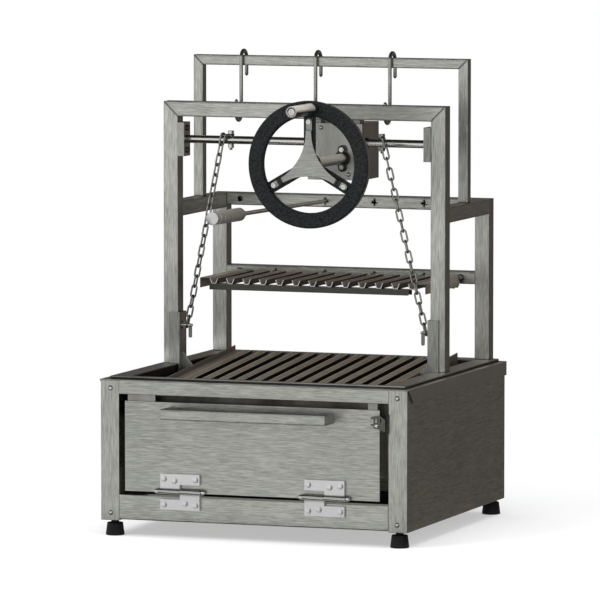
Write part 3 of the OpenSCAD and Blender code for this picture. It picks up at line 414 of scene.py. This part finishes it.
steel_x = brushed_steel("steel_brushed_across", BRUSH_X)
steel_z = brushed_steel("steel_brushed_upright", BRUSH_Z)
sill_steel = brushed_steel("steel_sill", BRUSH_X, radius=FOLD_ROUND)
door_steel = brushed_steel("steel_door", BRUSH_X, colour=DOOR)
# The handle's back and top faces and the uprights' right faces get painted shade; the surround's top gets a painted
# highlight, and a milder painted shade below.
handle_steel = brushed_steel("steel_handle", BRUSH_X, radius=TUBE_ROUND, back=0.25, top=0.55)
tube_x = brushed_steel("tube_brushed_across", BRUSH_X, colour=CROSS_TUBE, radius=TUBE_ROUND)
tube_z = brushed_steel("tube_brushed_upright", BRUSH_Z, colour=UPRIGHT_TUBE, radius=TUBE_ROUND, side=0.58)
rail_steel = brushed_steel("steel_side_rails", BRUSH_Y, radius=TUBE_ROUND)
surround_steel = brushed_steel("steel_surround", BRUSH_X, top=1.15, under=0.6)
gear_front_steel = brushed_steel("steel_gearbox_front", BRUSH_Z, colour=(0.385, 0.385, 0.358), rough=0.30, spread=0.20)
star_steel = brushed_steel("steel_star_plate", BRUSH_X, colour=(0.305, 0.311, 0.288), rough=0.30)
steel_sides = two_way_steel("steel_folded_sides", BRUSH_Y, BRUSH_Z, 1, 0.6, 0.8)


def paint_ramp_shade(material):
    """The two lower arms of the star step down to their pads; a painted shade darkens the steps, standing in for their
    reflection of the dark floor.
    """
    tree = Tree(material.node_tree)
    shader = material.node_tree.nodes["Principled BSDF"]
    clean = shader.inputs["Base Color"].links[0].from_socket
    position = tree.add("ShaderNodeTexCoord").outputs["Object"]
    reach = tree.away_from(position, WHEEL_CENTRE, (1.0, 0.0, 1.0))
    ramp = tree.band(reach, *RAMP_REACH, 0.0004)
    lower = tree.remap(tree.part(position, 2), WHEEL_CENTRE[2], WHEEL_CENTRE[2] - 0.001)
    tree.tree.links.new(tree.mix(tree.math("MULTIPLY", ramp, lower), clean, (0.040, 0.038, 0.033, 1.0)),
                        shader.inputs["Base Color"])


def paint_fold_highlight(material):
    """A painted highlight: the folds along both sides of the surround get a thin line of colour 2.6 times as bright.
    """
    tree = Tree(material.node_tree)
    shader = material.node_tree.nodes["Principled BSDF"]
    position = tree.add("ShaderNodeTexCoord").outputs["Object"]
    across = tree.math("ABSOLUTE", tree.part(position, 0))
    upward = tree.part(tree.add("ShaderNodeNewGeometry").outputs["True Normal"], 2)
    fold = tree.math("MULTIPLY", tree.remap(across, FOLD_LINE - 0.0005, FOLD_LINE), tree.remap(upward, 0.3, 0.5))
    multiply_colour(tree, shader, tree.remap(fold, 0.0, 1.0, 1.0, 2.6))


paint_ramp_shade(star_steel)
paint_fold_highlight(surround_steel)
print("brushed steel in", 12, "materials")

# %% [markdown]
# ## Bright turned steel
# The shafts, bolts, screws and the crank knob come off a lathe. They are smoother than the
# sheet and mirror their surroundings in long bright and dark lines. Very fine rings across the
# axis break the mirror a little.

# %% bright steel
BRIGHT = (0.60, 0.60, 0.585)


def turned_steel(name, colour, rough, ring_axis, anisotropy=0.0, metallic=1.0,
                 darkest=1.0, fall=(-0.5, 0.6), front=1.0):
    """`darkest` and `fall` paint shade on what faces down, and `front` paints shade on the end faces that look
    forward.
    """
    material, tree, shader, position = start_material(name, colour, metallic, rough, Anisotropic=anisotropy)
    along = tree.add("ShaderNodeSeparateXYZ", None, Vector=position).outputs[ring_axis]
    rings = tree.add("ShaderNodeTexNoise", {"noise_dimensions": "1D"}, W=along, Scale=4000.0, Detail=2.0).outputs[0]
    tint(tree, shader, colour, rings, 0.06)
    marks = marks_of(tree, position, 0.02)
    tree.tree.links.new(tree.remap(marks, 0.0, 1.0, rough - 0.03, rough + 0.05), shader.inputs["Roughness"])
    bump(tree, shader, rings, 0.06, 0.0002)
    if darkest < 1.0:
        above = tree.add("ShaderNodeGroup", {"node_tree": ABOVE})
        above.inputs["Darkest"].default_value = darkest
        above.inputs["Low"].default_value, above.inputs["High"].default_value = fall
        ahead = tree.part(tree.add("ShaderNodeNewGeometry").outputs["Normal"], 1)
        shade = tree.add("ShaderNodeMix", None, slot_0=tree.remap(ahead, -0.80, -0.95),
                         slot_2=above.outputs["Shade"], slot_3=front).outputs[0]
        multiply_colour(tree, shader, shade)
    return material


bright_x = turned_steel("bright_steel_x", BRIGHT, 0.16, 0)
bright_y = turned_steel("bright_steel_y", BRIGHT, 0.16, 1)
bright_z = turned_steel("bright_steel_z", BRIGHT, 0.20, 2)
# The bearing, screws, skewer rod, knob and wheel shaft carry this painted shade, so their tops look lit and their
# undersides dark. The bearing's own colour is a dark copy of bright steel, also painted shade, and the knob's very
# light colour is a painted highlight for its lit top.
bearing_steel = turned_steel("bearing_steel", (0.10, 0.10, 0.09), 0.20, 1, darkest=0.25, front=0.45)
screw_steel = turned_steel("screw_steel", (0.66, 0.66, 0.65), 0.22, 1, darkest=0.10, fall=(-0.2, 0.9), front=0.8)
rod_end_steel = turned_steel(
    "skewer_steel", (0.74, 0.69, 0.64), 0.24, 1, metallic=0.8, darkest=0.06, fall=(-0.25, 0.35), front=0.5)
knob_steel = turned_steel(
    "knob_steel", (0.97, 0.92, 0.85), 0.22, 1, metallic=0.5, darkest=0.02, fall=(-0.28, 0.24), front=0.30)
shaft_steel = turned_steel(
    "wheel_shaft_steel", (0.44, 0.435, 0.375), 0.22, 1, metallic=0.5, darkest=0.05, fall=(-0.50, 0.05), front=0.5)
cap_steel = turned_steel("turned_end_face", BRIGHT, 0.28, 1, 0.8)
cap_tangent = cap_steel.node_tree.nodes.new("ShaderNodeTangent")
cap_tangent.direction_type, cap_tangent.axis = "RADIAL", "Y"
cap_steel.node_tree.links.new(cap_tangent.outputs[0], cap_steel.node_tree.nodes["Principled BSDF"].inputs["Tangent"])
grip_steel = turned_steel("turned_grip", (0.40, 0.375, 0.35), 0.30, 1)
grip_steel.node_tree.nodes["Principled BSDF"].inputs["Metallic"].default_value = 0.6
print("bright steel in", 10, "materials")

# %% [markdown]
# ## Wire, rod and plain plates
# The chain, the hooks, the latch and the drop tabs are raw steel: darker than the sheet, with
# small uneven patches where the mill skin or oil stays. The latch, its keeper and the block bolts are
# much darker still, which is painted shade. The hinge leaves are different again, satin plated to a flat pale grey.

# %% wire and plates
WIRE = (0.33, 0.335, 0.305)
PLATED = (0.465, 0.465, 0.465)


def plain_steel(name, colour, rough, patch_size, spread):
    material, tree, shader, position = start_material(name, colour, 1.0, rough)
    patches = marks_of(tree, position, patch_size)
    tint(tree, shader, colour, patches, spread)
    tree.tree.links.new(tree.remap(patches, 0.0, 1.0, rough + 0.05, rough - 0.05), shader.inputs["Roughness"])
    bump(tree, shader, tree.noise(position, 1400.0, 2.0), 0.05, 0.0002)
    return material


wire_steel = plain_steel("raw_wire", WIRE, 0.24, 0.010, 0.18)
rod_steel = plain_steel("drawn_rod", (0.36, 0.36, 0.34), 0.26, 0.030, 0.10)
plate_steel = plain_steel("dark_plate", (0.24, 0.235, 0.22), 0.34, 0.030, 0.12)
# The latch plate and keeper colours are painted shade for the shaded gap beside the door.
latch_steel = plain_steel("latch_plate", (0.098, 0.094, 0.081), 0.30, 0.030, 0.12)
keeper_steel = plain_steel("keeper_plate", (0.030, 0.029, 0.026), 0.34, 0.030, 0.12)
print("raw steel in", 5, "materials")

# %% satin plating
HINGE_AXIS = (0.0, -0.2853, 0.0933)
BARREL_RADIUS = 0.0064
HEAD_LIGHT, HEAD_SHADE = 1.35, 0.25


def satin_plating(name, barrel):
    material, tree, shader, position = start_material(name, PLATED, 0.35, 0.55)
    grain = tree.noise(position, 2600.0, 2.0)
    if not barrel:
        # Screw heads: a lighter copy of the plating is a painted highlight, and the side that faces right gets painted
        # shade.
        tint(tree, shader, tuple(c * HEAD_LIGHT for c in PLATED), grain, 0.03)
        aside = tree.part(tree.add("ShaderNodeNewGeometry").outputs["Normal"], 0)
        multiply_colour(tree, shader, tree.remap(aside, 0.15, 0.75, 1.0, HEAD_SHADE))
        return material
    dark = tuple(c * 1.19 for c in PLATED) + (1.0,)
    light = tuple(c * 1.26 for c in PLATED) + (1.0,)
    off_axis = tree.away_from(position, HINGE_AXIS, (0.0, 1.0, 1.0))
    leaf = tree.remap(off_axis, BARREL_RADIUS - 0.0001, BARREL_RADIUS + 0.0001)
    tree.tree.links.new(tree.mix(leaf, (0.36, 0.36, 0.35, 1.0), tree.mix(grain, dark, light)),
                        shader.inputs["Base Color"])
    tree.tree.links.new(tree.remap(leaf, 0.0, 1.0, 1.0, 0.35), shader.inputs["Metallic"])
    tree.tree.links.new(tree.remap(leaf, 0.0, 1.0, 0.22, 0.55), shader.inputs["Roughness"])
    return material


plated = satin_plating("satin_plating", True)
plated_screws = satin_plating("satin_screw_heads", False)
print("made", plated.name, "and", plated_screws.name)

# %% [markdown]
# ## Grate steel
# The V bars are folded from thinner sheet. Light reaches their troughs only from above, and the
# hot zone tans the metal, so the photograph shows them as a warm brown. A little of the brushed
# grain stays visible along each bar.

# %% grate steel
GRATE = (0.62, 0.575, 0.50)
GRATE_FRAME = (0.26, 0.24, 0.21)
REAR_CHANNEL = (0.30, 0.31, 0.31)
WARMING = (0.400, 0.362, 0.318)
BAR_END_HIGHLIGHT = (0.74, 0.75, 0.73)
FLANK_SHADE = 0.12
LIP_LIGHT = 1.5
FRAME_FRONT_SHADE = (0.076, 0.076, 0.067)


def tanned_steel(name, colour, front_colour):
    """Faces that look straight forward get their own colour: a painted highlight on the cut ends of the bars, painted
    shade on the warming frame's front channel, and the grey of its rear channel on the main frame.
    """
    material, tree, shader, position = start_material(name, colour, 0.85, 0.42)
    tone, height = grain_of(tree, position, BRUSH_Y)
    heat = marks_of(tree, position, 0.12)
    cool = tuple(c * 1.08 for c in colour) + (1.0,)
    warm = (colour[0] * 0.98, colour[1] * 0.94, colour[2] * 0.89, 1.0)
    base = tree.mix(heat, cool, warm)
    streak = tree.remap(tone, 0.30, 0.70, 0.86, 1.12)
    normal = tree.add("ShaderNodeNewGeometry").outputs["True Normal"]
    front = tree.remap(tree.part(normal, 1), -0.80, -0.95)
    tree.tree.links.new(tree.mix(front, base, (*front_colour, 1.0)), shader.inputs["Base Color"])
    # Faces that look down, the bars' outer walls, get painted shade; the up-facing top lips get a painted highlight.
    flank = tree.remap(tree.part(normal, 2), -0.30, -0.10, FLANK_SHADE, 1.0)
    lip = tree.remap(tree.part(normal, 2), 0.92, 0.98, 1.0, LIP_LIGHT)
    multiply_colour(tree, shader, tree.math("MULTIPLY", streak, tree.math("MULTIPLY", flank, lip)))
    tree.tree.links.new(tree.remap(heat, 0.0, 1.0, 0.38, 0.48), shader.inputs["Roughness"])
    bump(tree, shader, height, 0.2, 0.0004)
    return material


grate_steel = tanned_steel("tanned_bars", GRATE, BAR_END_HIGHLIGHT)
grate_frame_steel = tanned_steel("tanned_frame", GRATE_FRAME, REAR_CHANNEL)
warming_steel = tanned_steel("tanned_warming_bars", WARMING, BAR_END_HIGHLIGHT)
warming_frame_steel = tanned_steel("tanned_warming_frame", WARMING, FRAME_FRONT_SHADE)
print("made 4 grate finishes")

# %% [markdown]
# ## Hammered paint and rubber
# The wheel is coated with hammered paint: it dries into tiny round dents with a soft gloss. A
# Voronoi pattern gives the dents their cells and noise makes them uneven. The feet are black
# moulded rubber, duller, with a dusty bloom.

# %% black finishes
RING_EDGE = 0.12475
RING_FRONT = -0.1937


def hammered_paint():
    colour = (0.0075, 0.0090, 0.0095)
    material, tree, shader, position = start_material(
        "black_hammered_paint", colour, 0.0, 0.42, Specular_IOR_Level=0.22)
    wobble = tree.noise(position, 260.0, 2.0)
    cells = tree.add("ShaderNodeTexVoronoi", {"feature": "SMOOTH_F1"}, Vector=position, Scale=260.0, Smoothness=0.4)
    dents = tree.math("ADD", cells.outputs["Distance"], tree.math("MULTIPLY", wobble, 0.6))
    dark = tuple(c * 0.45 for c in colour) + (1.0,)
    light = tuple(c * 1.55 for c in colour) + (1.0,)
    paint = tree.mix(tree.remap(dents, 0.2, 1.0), dark, light)
    off_axis = tree.away_from(position, WHEEL_CENTRE, (1.0, 0.0, 1.0))
    bare = tree.remap(off_axis, RING_EDGE - 0.0006, RING_EDGE - 0.0003)
    tree.tree.links.new(tree.mix(bare, paint, (0.30, 0.28, 0.26, 1.0)), shader.inputs["Base Color"])
    tree.tree.links.new(bare, shader.inputs["Metallic"])
    tree.tree.links.new(tree.remap(wobble, 0.3, 0.7, 0.36, 0.50), shader.inputs["Roughness"])
    tree.tree.links.new(tree.remap(dents, 0.25, 0.95, 0.03, 0.26), shader.inputs["Specular IOR Level"])
    bump(tree, shader, dents, 0.9, 0.0014)
    return material


def black_foot(name, from_y):
    """Bright turned steel that turns black, dull and non-metallic from a depth backwards, at its foot by the wheel."""
    material, tree, shader, position = start_material(name, BRIGHT, 1.0, 0.18)
    foot = tree.remap(tree.part(position, 1), from_y - 0.0003, from_y + 0.0003)
    tree.tree.links.new(tree.mix(foot, (*BRIGHT, 1.0), (0.012, 0.013, 0.013, 1.0)), shader.inputs["Base Color"])
    tree.tree.links.new(tree.math("SUBTRACT", 1.0, foot), shader.inputs["Metallic"])
    tree.tree.links.new(tree.remap(foot, 0.0, 1.0, 0.18, 0.42), shader.inputs["Roughness"])
    return material


def moulded_rubber():
    colour = (0.006, 0.006, 0.0065)
    material, tree, shader, position = start_material("black_rubber", colour, 0.0, 0.62, Specular_IOR_Level=0.22)
    bloom = marks_of(tree, position, 0.012)
    tint(tree, shader, colour, bloom, 0.35)
    bump(tree, shader, tree.noise(position, 1800.0, 2.0), 0.10, 0.0003)
    return material


hammered = hammered_paint()
spindle_steel = black_foot("spindle_with_black_foot", RING_FRONT - 0.0125)
rubber = moulded_rubber()
print("made", hammered.name, "and", rubber.name)

# %% [markdown]
# ## Inside the base
# The fire pan, the floor and the cabinet walls are the same sheet, but soot and shade make them
# nearly black. Their finishes carry soot and painted shade together, which keeps them dark also in a bright room.

# %% sooty sheet
RIM_BASE = 0.309
SHADOW_LINE_HEIGHT = 0.0026
RIM = (0.66, 0.655, 0.62)
RIM_FRONT_SHADE = 0.55


def soot_and_shade_sheet(name, clean, sooty, rough):
    material, tree, shader, position = start_material(name, clean, 1.0, rough)
    soot = marks_of(tree, position, 0.09)
    tree.tree.links.new(tree.mix(soot, (*clean, 1.0), (*sooty, 1.0)), shader.inputs["Base Color"])
    tree.tree.links.new(tree.remap(soot, 0.0, 1.0, rough, rough + 0.2), shader.inputs["Roughness"])
    bump(tree, shader, tree.noise(position, 500.0, 3.0), 0.10, 0.0005)
    return material


def pan_finish():
    """A sooty well under a clean brushed rim, told apart by their height. The colour is painted darker towards the
    left and on faces that don't look up, and a thin band just above the rim's base carries a painted shadow line.
    """
    material = soot_and_shade_sheet("soot_and_shade_pan", (0.255, 0.243, 0.210), (0.128, 0.122, 0.107), 0.42)
    tree = Tree(material.node_tree)
    shader = material.node_tree.nodes["Principled BSDF"]
    soot = shader.inputs["Base Color"].links[0].from_socket
    position = tree.add("ShaderNodeTexCoord").outputs["Object"]
    tone, _ = grain_of(tree, position, BRUSH_X)
    streaks = tree.mix(tone, tuple(c * 0.7 for c in RIM) + (1.0,), tuple(c * 1.3 for c in RIM) + (1.0,))
    upward = tree.part(tree.add("ShaderNodeNewGeometry").outputs["True Normal"], 2)
    height = tree.part(position, 2)
    clean = tree.remap(height, RIM_BASE - 0.0004, RIM_BASE)
    tree.tree.links.new(tree.mix(clean, soot, streaks), shader.inputs["Base Color"])
    seam = tree.band(height, RIM_BASE, RIM_BASE + SHADOW_LINE_HEIGHT, 0.0003)
    across = tree.remap(tree.part(position, 0), -0.30, 0.30, 0.66, 1.12)
    level = tree.math("MULTIPLY", across, tree.remap(upward, 0.7, 0.9, RIM_FRONT_SHADE, 1.0))
    multiply_colour(tree, shader, tree.math("MULTIPLY", level, tree.remap(seam, 0.0, 1.0, 1.0, 0.12)))
    return material


pan_sheet = pan_finish()
shade_sheet = soot_and_shade_sheet("shaded_sheet", (0.15, 0.145, 0.13), (0.10, 0.097, 0.088), 0.45)
case_steel = plain_steel("gearbox_sheet", (0.27, 0.27, 0.255), 0.32, 0.05, 0.08)
print("inside finishes ready")

# %% [markdown]
# ## Dressing the solids
# Each solid takes one finish. A real sheet-metal edge is never razor sharp, so a weld modifier
# closes the seams of the imported mesh, its flats become whole faces again, and a narrow bevel
# rounds its sharp edges. Round parts keep their smooth shading, because only edges steeper than
# the limit are bevelled.

# %% which finish goes where
FINISHES = {
    steel_x: ["top_rail", "rear_panel"],
    door_steel: ["door_panel"],
    sill_steel: ["sill"],
    handle_steel: ["door_handle"],
    tube_x: ["crossbar", "hanging_bar", "rear_rails"],
    tube_z: ["front_uprights", "rear_uprights", "hanging_posts"],
    rail_steel: ["side_rails"],
    steel_z: ["sliders", "shaft_blocks"],
    gear_front_steel: ["gearbox_front"],
    steel_sides: ["side_panels"],
    surround_steel: ["top_surround"],
    star_steel: ["star_plate"],
    bright_x: ["winch_shaft", "hinge_pins", "chain_pins"],
    bright_y: ["star_screws", "bearing_bolts", "latch_rivet"],
    screw_steel: ["frame_screws", "gearbox_screws"],
    bearing_steel: ["hub_bearing"],
    knob_steel: ["crank_knob"],
    shaft_steel: ["wheel_shaft"],
    rod_end_steel: ["skewer_rod"],
    bright_z: ["chain_bolts"],
    cap_steel: ["skewer_cap"],
    grip_steel: ["skewer_grip"],
    rod_steel: ["hook_left", "hook_middle", "hook_right"],
    wire_steel: ["chain_left", "chain_right"],
    latch_steel: ["turn_latch", "block_bolts"],
    keeper_steel: ["latch_keeper"],
    plate_steel: ["door_stops", "drop_tab_left", "drop_tab_right", "shaft_collar", "worm_gear"],
    plated: ["hinge_leaves_fixed", "hinge_leaves_moving"],
    plated_screws: ["sill_screws", "hinge_screws"],
    spindle_steel: ["knob_spindle"],
    grate_steel: ["grate_bars"],
    grate_frame_steel: ["grate_frame"],
    warming_steel: ["warming_bars"],
    warming_frame_steel: ["warming_frame"],
    hammered: ["wheel_ring"],
    rubber: ["feet"],
    pan_sheet: ["fire_pan"],
    shade_sheet: ["floor_panel"],
    case_steel: ["gearbox_case"],
}
undressed = set(nodes) - {name for names in FINISHES.values() for name in names}
print("solids without a finish:", sorted(undressed))

# %% soften the edges
EDGE_WIDTH = 0.0006
SHEET_EDGE_WIDTH = 0.0010
SHEETS = {"side_panels", "top_rail", "sill", "door_panel"}
SMALL = {"chain_left", "chain_right", "worm_gear", "frame_screws", "sill_screws", "hinge_screws", "gearbox_screws",
         "star_screws", "latch_rivet", "bearing_bolts", "wheel_shaft"}


def soften(solid, width):
    weld = solid.modifiers.new("close seams", "WELD")
    weld.merge_threshold = 0.00001
    flats = solid.modifiers.new("whole flats", "DECIMATE")
    flats.decimate_type = "DISSOLVE"
    flats.angle_limit = math.radians(0.5)
    bevel = solid.modifiers.new("soft edges", "BEVEL")
    bevel.width = width
    bevel.segments = 2
    bevel.limit_method = "ANGLE"
    bevel.angle_limit = math.radians(38.0)
    bevel.use_clamp_overlap = True
    bevel.harden_normals = True


def dress(solid, material):
    for slot in solid.material_slots:
        slot.material = material
    if not solid.material_slots:
        solid.data.materials.append(material)


for material, names in FINISHES.items():
    for name in names:
        dress(nodes[name], material)
        if name not in SMALL:
            soften(nodes[name], SHEET_EDGE_WIDTH if name in SHEETS else EDGE_WIDTH)
print("dressed", sum(len(names) for names in FINISHES.values()), "solids")

# %% [markdown]
# ## Chains that follow the grate
# On the real grill the chains wind round the shaft when the grate goes up. A loose chain could be
# built link by link on a path, but the path would have to change with the lift. So the lowest
# link of each chain stays on its pin and goes up with the grate, and the other links are split into
# a middle piece and the three top links, both held by the frame. For the middle piece the script works
# out what share of its length the lift leaves, and prints it. At rest no link is changed.

# %% chain links
LIFT = next(joint for joint in frame["joints"] if joint["name"] == "grate_lift")
LIFT_HEIGHT = LIFT["range_m"][1]
TOP_LINKS = 3


def place_of(vertex):
    return tuple(round(number, 5) for number in vertex.co)


def links_upwards(shape):
    """The links from the lowest up, each a set of vertices. Copies of a vertex along a seam count as joined."""
    copies = {}
    for vertex in shape.verts:
        copies.setdefault(place_of(vertex), []).append(vertex)
    links, left = [], set(shape.verts)
    while left:
        link, waiting = set(), [next(iter(left))]
        while waiting:
            vertex = waiting.pop()
            if vertex not in link:
                link.add(vertex)
                waiting += [edge.other_vert(vertex) for edge in vertex.link_edges] + copies[place_of(vertex)]
        left -= link
        links.append(link)
    return sorted(links, key=lambda link: min(vertex.co.z for vertex in link))


def chain_piece(node, name, first, last):
    """A new piece with some of a chain's links, and its lowest and highest points."""
    shape = bmesh.new()
    shape.from_mesh(node.data)
    kept = set().union(*links_upwards(shape)[first:last])
    bmesh.ops.delete(shape, geom=[vertex for vertex in shape.verts if vertex not in kept], context="VERTS")
    low, high = (pick(shape.verts, key=lambda vertex: vertex.co.z).co.copy() for pick in (min, max))
    mesh = node.data.copy()
    mesh.name = name
    shape.to_mesh(mesh)
    shape.free()
    piece = bpy.data.objects.new(name, mesh)
    scene.collection.objects.link(piece)
    dress(piece, wire_steel)
    return piece, low, high


# %% hang the chains
def hang_chain(name):
    node = nodes[name]
    lowest, _, lowest_high = chain_piece(node, name + "_lowest_link", 0, 1)
    links, links_low, links_high = chain_piece(node, name + "_links", 1, -TOP_LINKS)
    top, top_low, _ = chain_piece(node, name + "_top_links", -TOP_LINKS, None)
    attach(lowest, "main_grate")
    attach(links, "frame")
    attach(top, "frame")
    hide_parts(name)
    joined_below = (lowest_high + links_low) / 2.0
    joined_above = (links_high + top_low) / 2.0
    length = joined_above.z - joined_below.z
    keep = (length - LIFT_HEIGHT) / length
    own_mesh(links)
    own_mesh(top)
    return keep


for name in ("chain_left", "chain_right"):
    print(name, "keeps", round(hang_chain(name), 3), "of its length when the grate is up")

# %% [markdown]
# ## The studio
# Steel shows what stands around it. The photograph's studio is bright in front of the grill and
# dark behind, above, below and to its right: that is why the door is light, the right side is
# brown, and every shaft has one bright line along its middle. A metal photographer gets this look
# with dark cards. Here the cards are seen only by reflections, so they shade the metal without
# darkening the floor.

# %% dark cards
BROWN_TONE = (0.166, 0.146, 0.131)
DARK_TONE = (0.060, 0.056, 0.052)
BLACK_TONE = (0.020, 0.020, 0.019)
CARD_BACK, CARD_FRONT, CARD_SIDE = 3.0, -2.8, 5.0
CARD_TOP, CARD_FLOOR = 2.6, 0.004
BASE_RIGHT, BASE_REAR = 0.335, 0.345
DARK_FLOOR_FRONT = -1.05


def card_mesh(name, corners):
    mesh = bpy.data.meshes.new(name)
    shape = bmesh.new()
    shape.faces.new([shape.verts.new(corner) for corner in corners])
    shape.to_mesh(mesh)
    shape.free()
    return mesh


def card_material(name, tone, one_sided=False):
    """A flat tone; a one-sided card can't be seen from its back."""
    material = bpy.data.materials.new(name)
    material.use_nodes = True
    material.cycles.emission_sampling = "NONE"
    tree = Tree(material.node_tree)
    material.node_tree.nodes.clear()
    face = tree.add("ShaderNodeEmission", None, Color=(*tone, 1.0), Strength=1.0).outputs[0]
    if one_sided:
        clear = tree.add("ShaderNodeBsdfTransparent").outputs[0]
        behind = tree.add("ShaderNodeNewGeometry").outputs["Backfacing"]
        face = tree.add("ShaderNodeMixShader", None, slot_0=behind, slot_1=face, slot_2=clear).outputs[0]
    end = material.node_tree.nodes.new("ShaderNodeOutputMaterial")
    tree.tree.links.new(face, end.inputs["Surface"])
    return material


def add_card(name, corners, material):
    card = bpy.data.objects.new(name, card_mesh(name, corners))
    card.data.materials.append(material)
    card.visible_camera = False
    card.visible_diffuse = False
    card.visible_shadow = False
    scene.collection.objects.link(card)
    return card


def flat_card(x0, x1, y0, y1, z):
    return [(x0, y0, z), (x1, y0, z), (x1, y1, z), (x0, y1, z)]


brown_card = card_material("brown_card", BROWN_TONE)
dark_card = card_material("dark_card", DARK_TONE)
black_card = card_material("black_card", BLACK_TONE)
low_card = card_material("low_card", BLACK_TONE, one_sided=True)
gap_card = card_material("gap_card", (0.12, 0.115, 0.10))
inner_card = card_material("inner_card", (0.34, 0.33, 0.30))
CARDS = {
    "card_behind": (brown_card, [(-CARD_SIDE, CARD_BACK, 0.0), (CARD_SIDE, CARD_BACK, 0.0),
                                 (CARD_SIDE, CARD_BACK, 4.0), (-CARD_SIDE, CARD_BACK, 4.0)]),
    "card_right": (brown_card, [(2.4, CARD_BACK, 0.0), (2.4, -1.2, 0.0), (2.4, -1.2, 4.0), (2.4, CARD_BACK, 4.0)]),
    "card_above": (dark_card, flat_card(-CARD_SIDE, CARD_SIDE, CARD_FRONT, CARD_BACK, CARD_TOP)),
    "card_floor_right": (brown_card, flat_card(BASE_RIGHT, CARD_SIDE, DARK_FLOOR_FRONT, CARD_BACK, CARD_FLOOR)),
    "card_floor_behind": (brown_card, flat_card(-CARD_SIDE, BASE_RIGHT, BASE_REAR, CARD_BACK, CARD_FLOOR)),
    "card_low_front": (low_card, [(-1.2, -0.62, 0.33), (BASE_RIGHT, -0.90, 0.33),
                                  (BASE_RIGHT, -0.35, 0.33), (-1.2, -0.35, 0.33)]),
    "card_low_left": (low_card, flat_card(-1.2, -BASE_RIGHT, -0.35, BASE_REAR, 0.33)),
    "card_in_door_gap": (gap_card, [(0.3155, -0.265, 0.09), (0.3155, -0.12, 0.09),
                                    (0.3155, -0.12, 0.27), (0.3155, -0.265, 0.27)]),
    "card_behind_door": (inner_card, [(-0.24, -0.225, 0.035), (0.30, -0.225, 0.035),
                                      (0.30, -0.225, 0.13), (-0.24, -0.225, 0.13)]),
    "card_floor_front": (black_card, flat_card(-0.8, BASE_RIGHT, -0.40, -0.31, CARD_FLOOR)),
}
for name, (tone, corners) in CARDS.items():
    add_card(name, corners, tone)
print("placed", len(CARDS), "cards")

# %% [markdown]
# ## Floor and background
# The floor is pale and keeps the grill's soft shadow. Camera, glossy and transmission rays see a
# plain white world behind it, while the light that the world gives stays at a modest level. The
# world is reached only by rays that leave the surfaces, so that the dark cards really cover it.

# %% world
def add_world():
    world = bpy.data.worlds.new("studio")
    world.use_nodes = True
    world.cycles.sampling_method = "NONE"
    scene.world = world
    tree = Tree(world.node_tree)
    world.node_tree.nodes.clear()
    rays = tree.add("ShaderNodeLightPath").outputs
    seen = tree.math("MAXIMUM", rays["Is Camera Ray"], rays["Is Glossy Ray"])
    seen = tree.math("MAXIMUM", seen, rays["Is Transmission Ray"])
    light = tree.add("ShaderNodeBackground", None, Color=(0.98, 0.99, 1.0, 1.0), Strength=0.55)
    shown = tree.add("ShaderNodeBackground", None, Color=(1.0, 1.0, 1.0, 1.0), Strength=1.0)
    both = tree.add("ShaderNodeMixShader", None, slot_0=seen, slot_1=light.outputs[0], slot_2=shown.outputs[0])
    end = world.node_tree.nodes.new("ShaderNodeOutputWorld")
    tree.tree.links.new(both.outputs[0], end.inputs["Surface"])
    return world


add_world()
scene.view_settings.view_transform = "Standard"
print("world ready")

# %% floor
FLOOR_HALF = 14.0
FADE_START, FADE_END = 0.55, 1.60


def floor_material():
    material = bpy.data.materials.new("pale_floor")
    material.use_nodes = True
    tree = Tree(material.node_tree)
    material.node_tree.nodes.clear()
    paint = tree.add("ShaderNodeBsdfDiffuse", None, Color=(0.55, 0.55, 0.55, 1.0))
    glow = tree.add("ShaderNodeEmission", None, Color=(1.0, 1.0, 1.0, 1.0), Strength=0.45)
    near = tree.add("ShaderNodeAddShader", None, slot_0=paint.outputs[0], slot_1=glow.outputs[0])
    away = tree.add("ShaderNodeEmission", None, Color=(1.0, 1.0, 1.0, 1.0), Strength=1.0)
    place = tree.add("ShaderNodeTexCoord").outputs["Object"]
    distance = tree.add("ShaderNodeVectorMath", {"operation": "LENGTH"}, slot_0=place).outputs["Value"]
    fade = tree.remap(distance, FADE_START, FADE_END)
    both = tree.add("ShaderNodeMixShader", None, slot_0=fade, slot_1=near.outputs[0], slot_2=away.outputs[0])
    rays = tree.add("ShaderNodeLightPath").outputs
    seen = tree.math("MAXIMUM", rays["Is Camera Ray"], rays["Is Glossy Ray"])
    seen = tree.math("MAXIMUM", seen, rays["Is Transmission Ray"])
    choice = tree.add("ShaderNodeMixShader", None, slot_0=seen, slot_1=paint.outputs[0], slot_2=both.outputs[0])
    end = material.node_tree.nodes.new("ShaderNodeOutputMaterial")
    tree.tree.links.new(choice.outputs[0], end.inputs["Surface"])
    return material


def add_floor():
    half = FLOOR_HALF
    corners = [(-half, -half, 0.0), (half, -half, 0.0), (half, half, 0.0), (-half, half, 0.0)]
    floor = bpy.data.objects.new("floor", card_mesh("floor", corners))
    floor.data.materials.append(floor_material())
    scene.collection.objects.link(floor)
    return floor


add_floor()
print("floor ready")

# %% [markdown]
# ## Lights
# One large soft lamp stands in front and to the left, a wide one hangs above, and a weak one
# fills the right side. Soft lamps give the floor shadow its wide edge.

# %% lamps
LAMPS = {
    "key_lamp": {"at": (-2.2, -3.2, 3.0), "size": 2.4, "watts": 120.0},
    "top_lamp": {"at": (0.3, -0.4, 3.6), "size": 2.6, "watts": 70.0},
    "fill_lamp": {"at": (3.4, -2.4, 1.6), "size": 2.0, "watts": 25.0},
}


def add_lamp(name, at, size, watts):
    data = bpy.data.lights.new(name, "AREA")
    data.shape = "DISK"
    data.size = size
    data.energy = watts
    lamp = bpy.data.objects.new(name, data)
    lamp.location = at
    lamp.rotation_euler = (Vector((0.0, 0.0, 0.4)) - Vector(at)).to_track_quat("-Z", "Y").to_euler()
    lamp.visible_glossy = False
    scene.collection.objects.link(lamp)
    return lamp


for name, values in LAMPS.items():
    add_lamp(name, **values)
print("hung", len(LAMPS), "lamps")
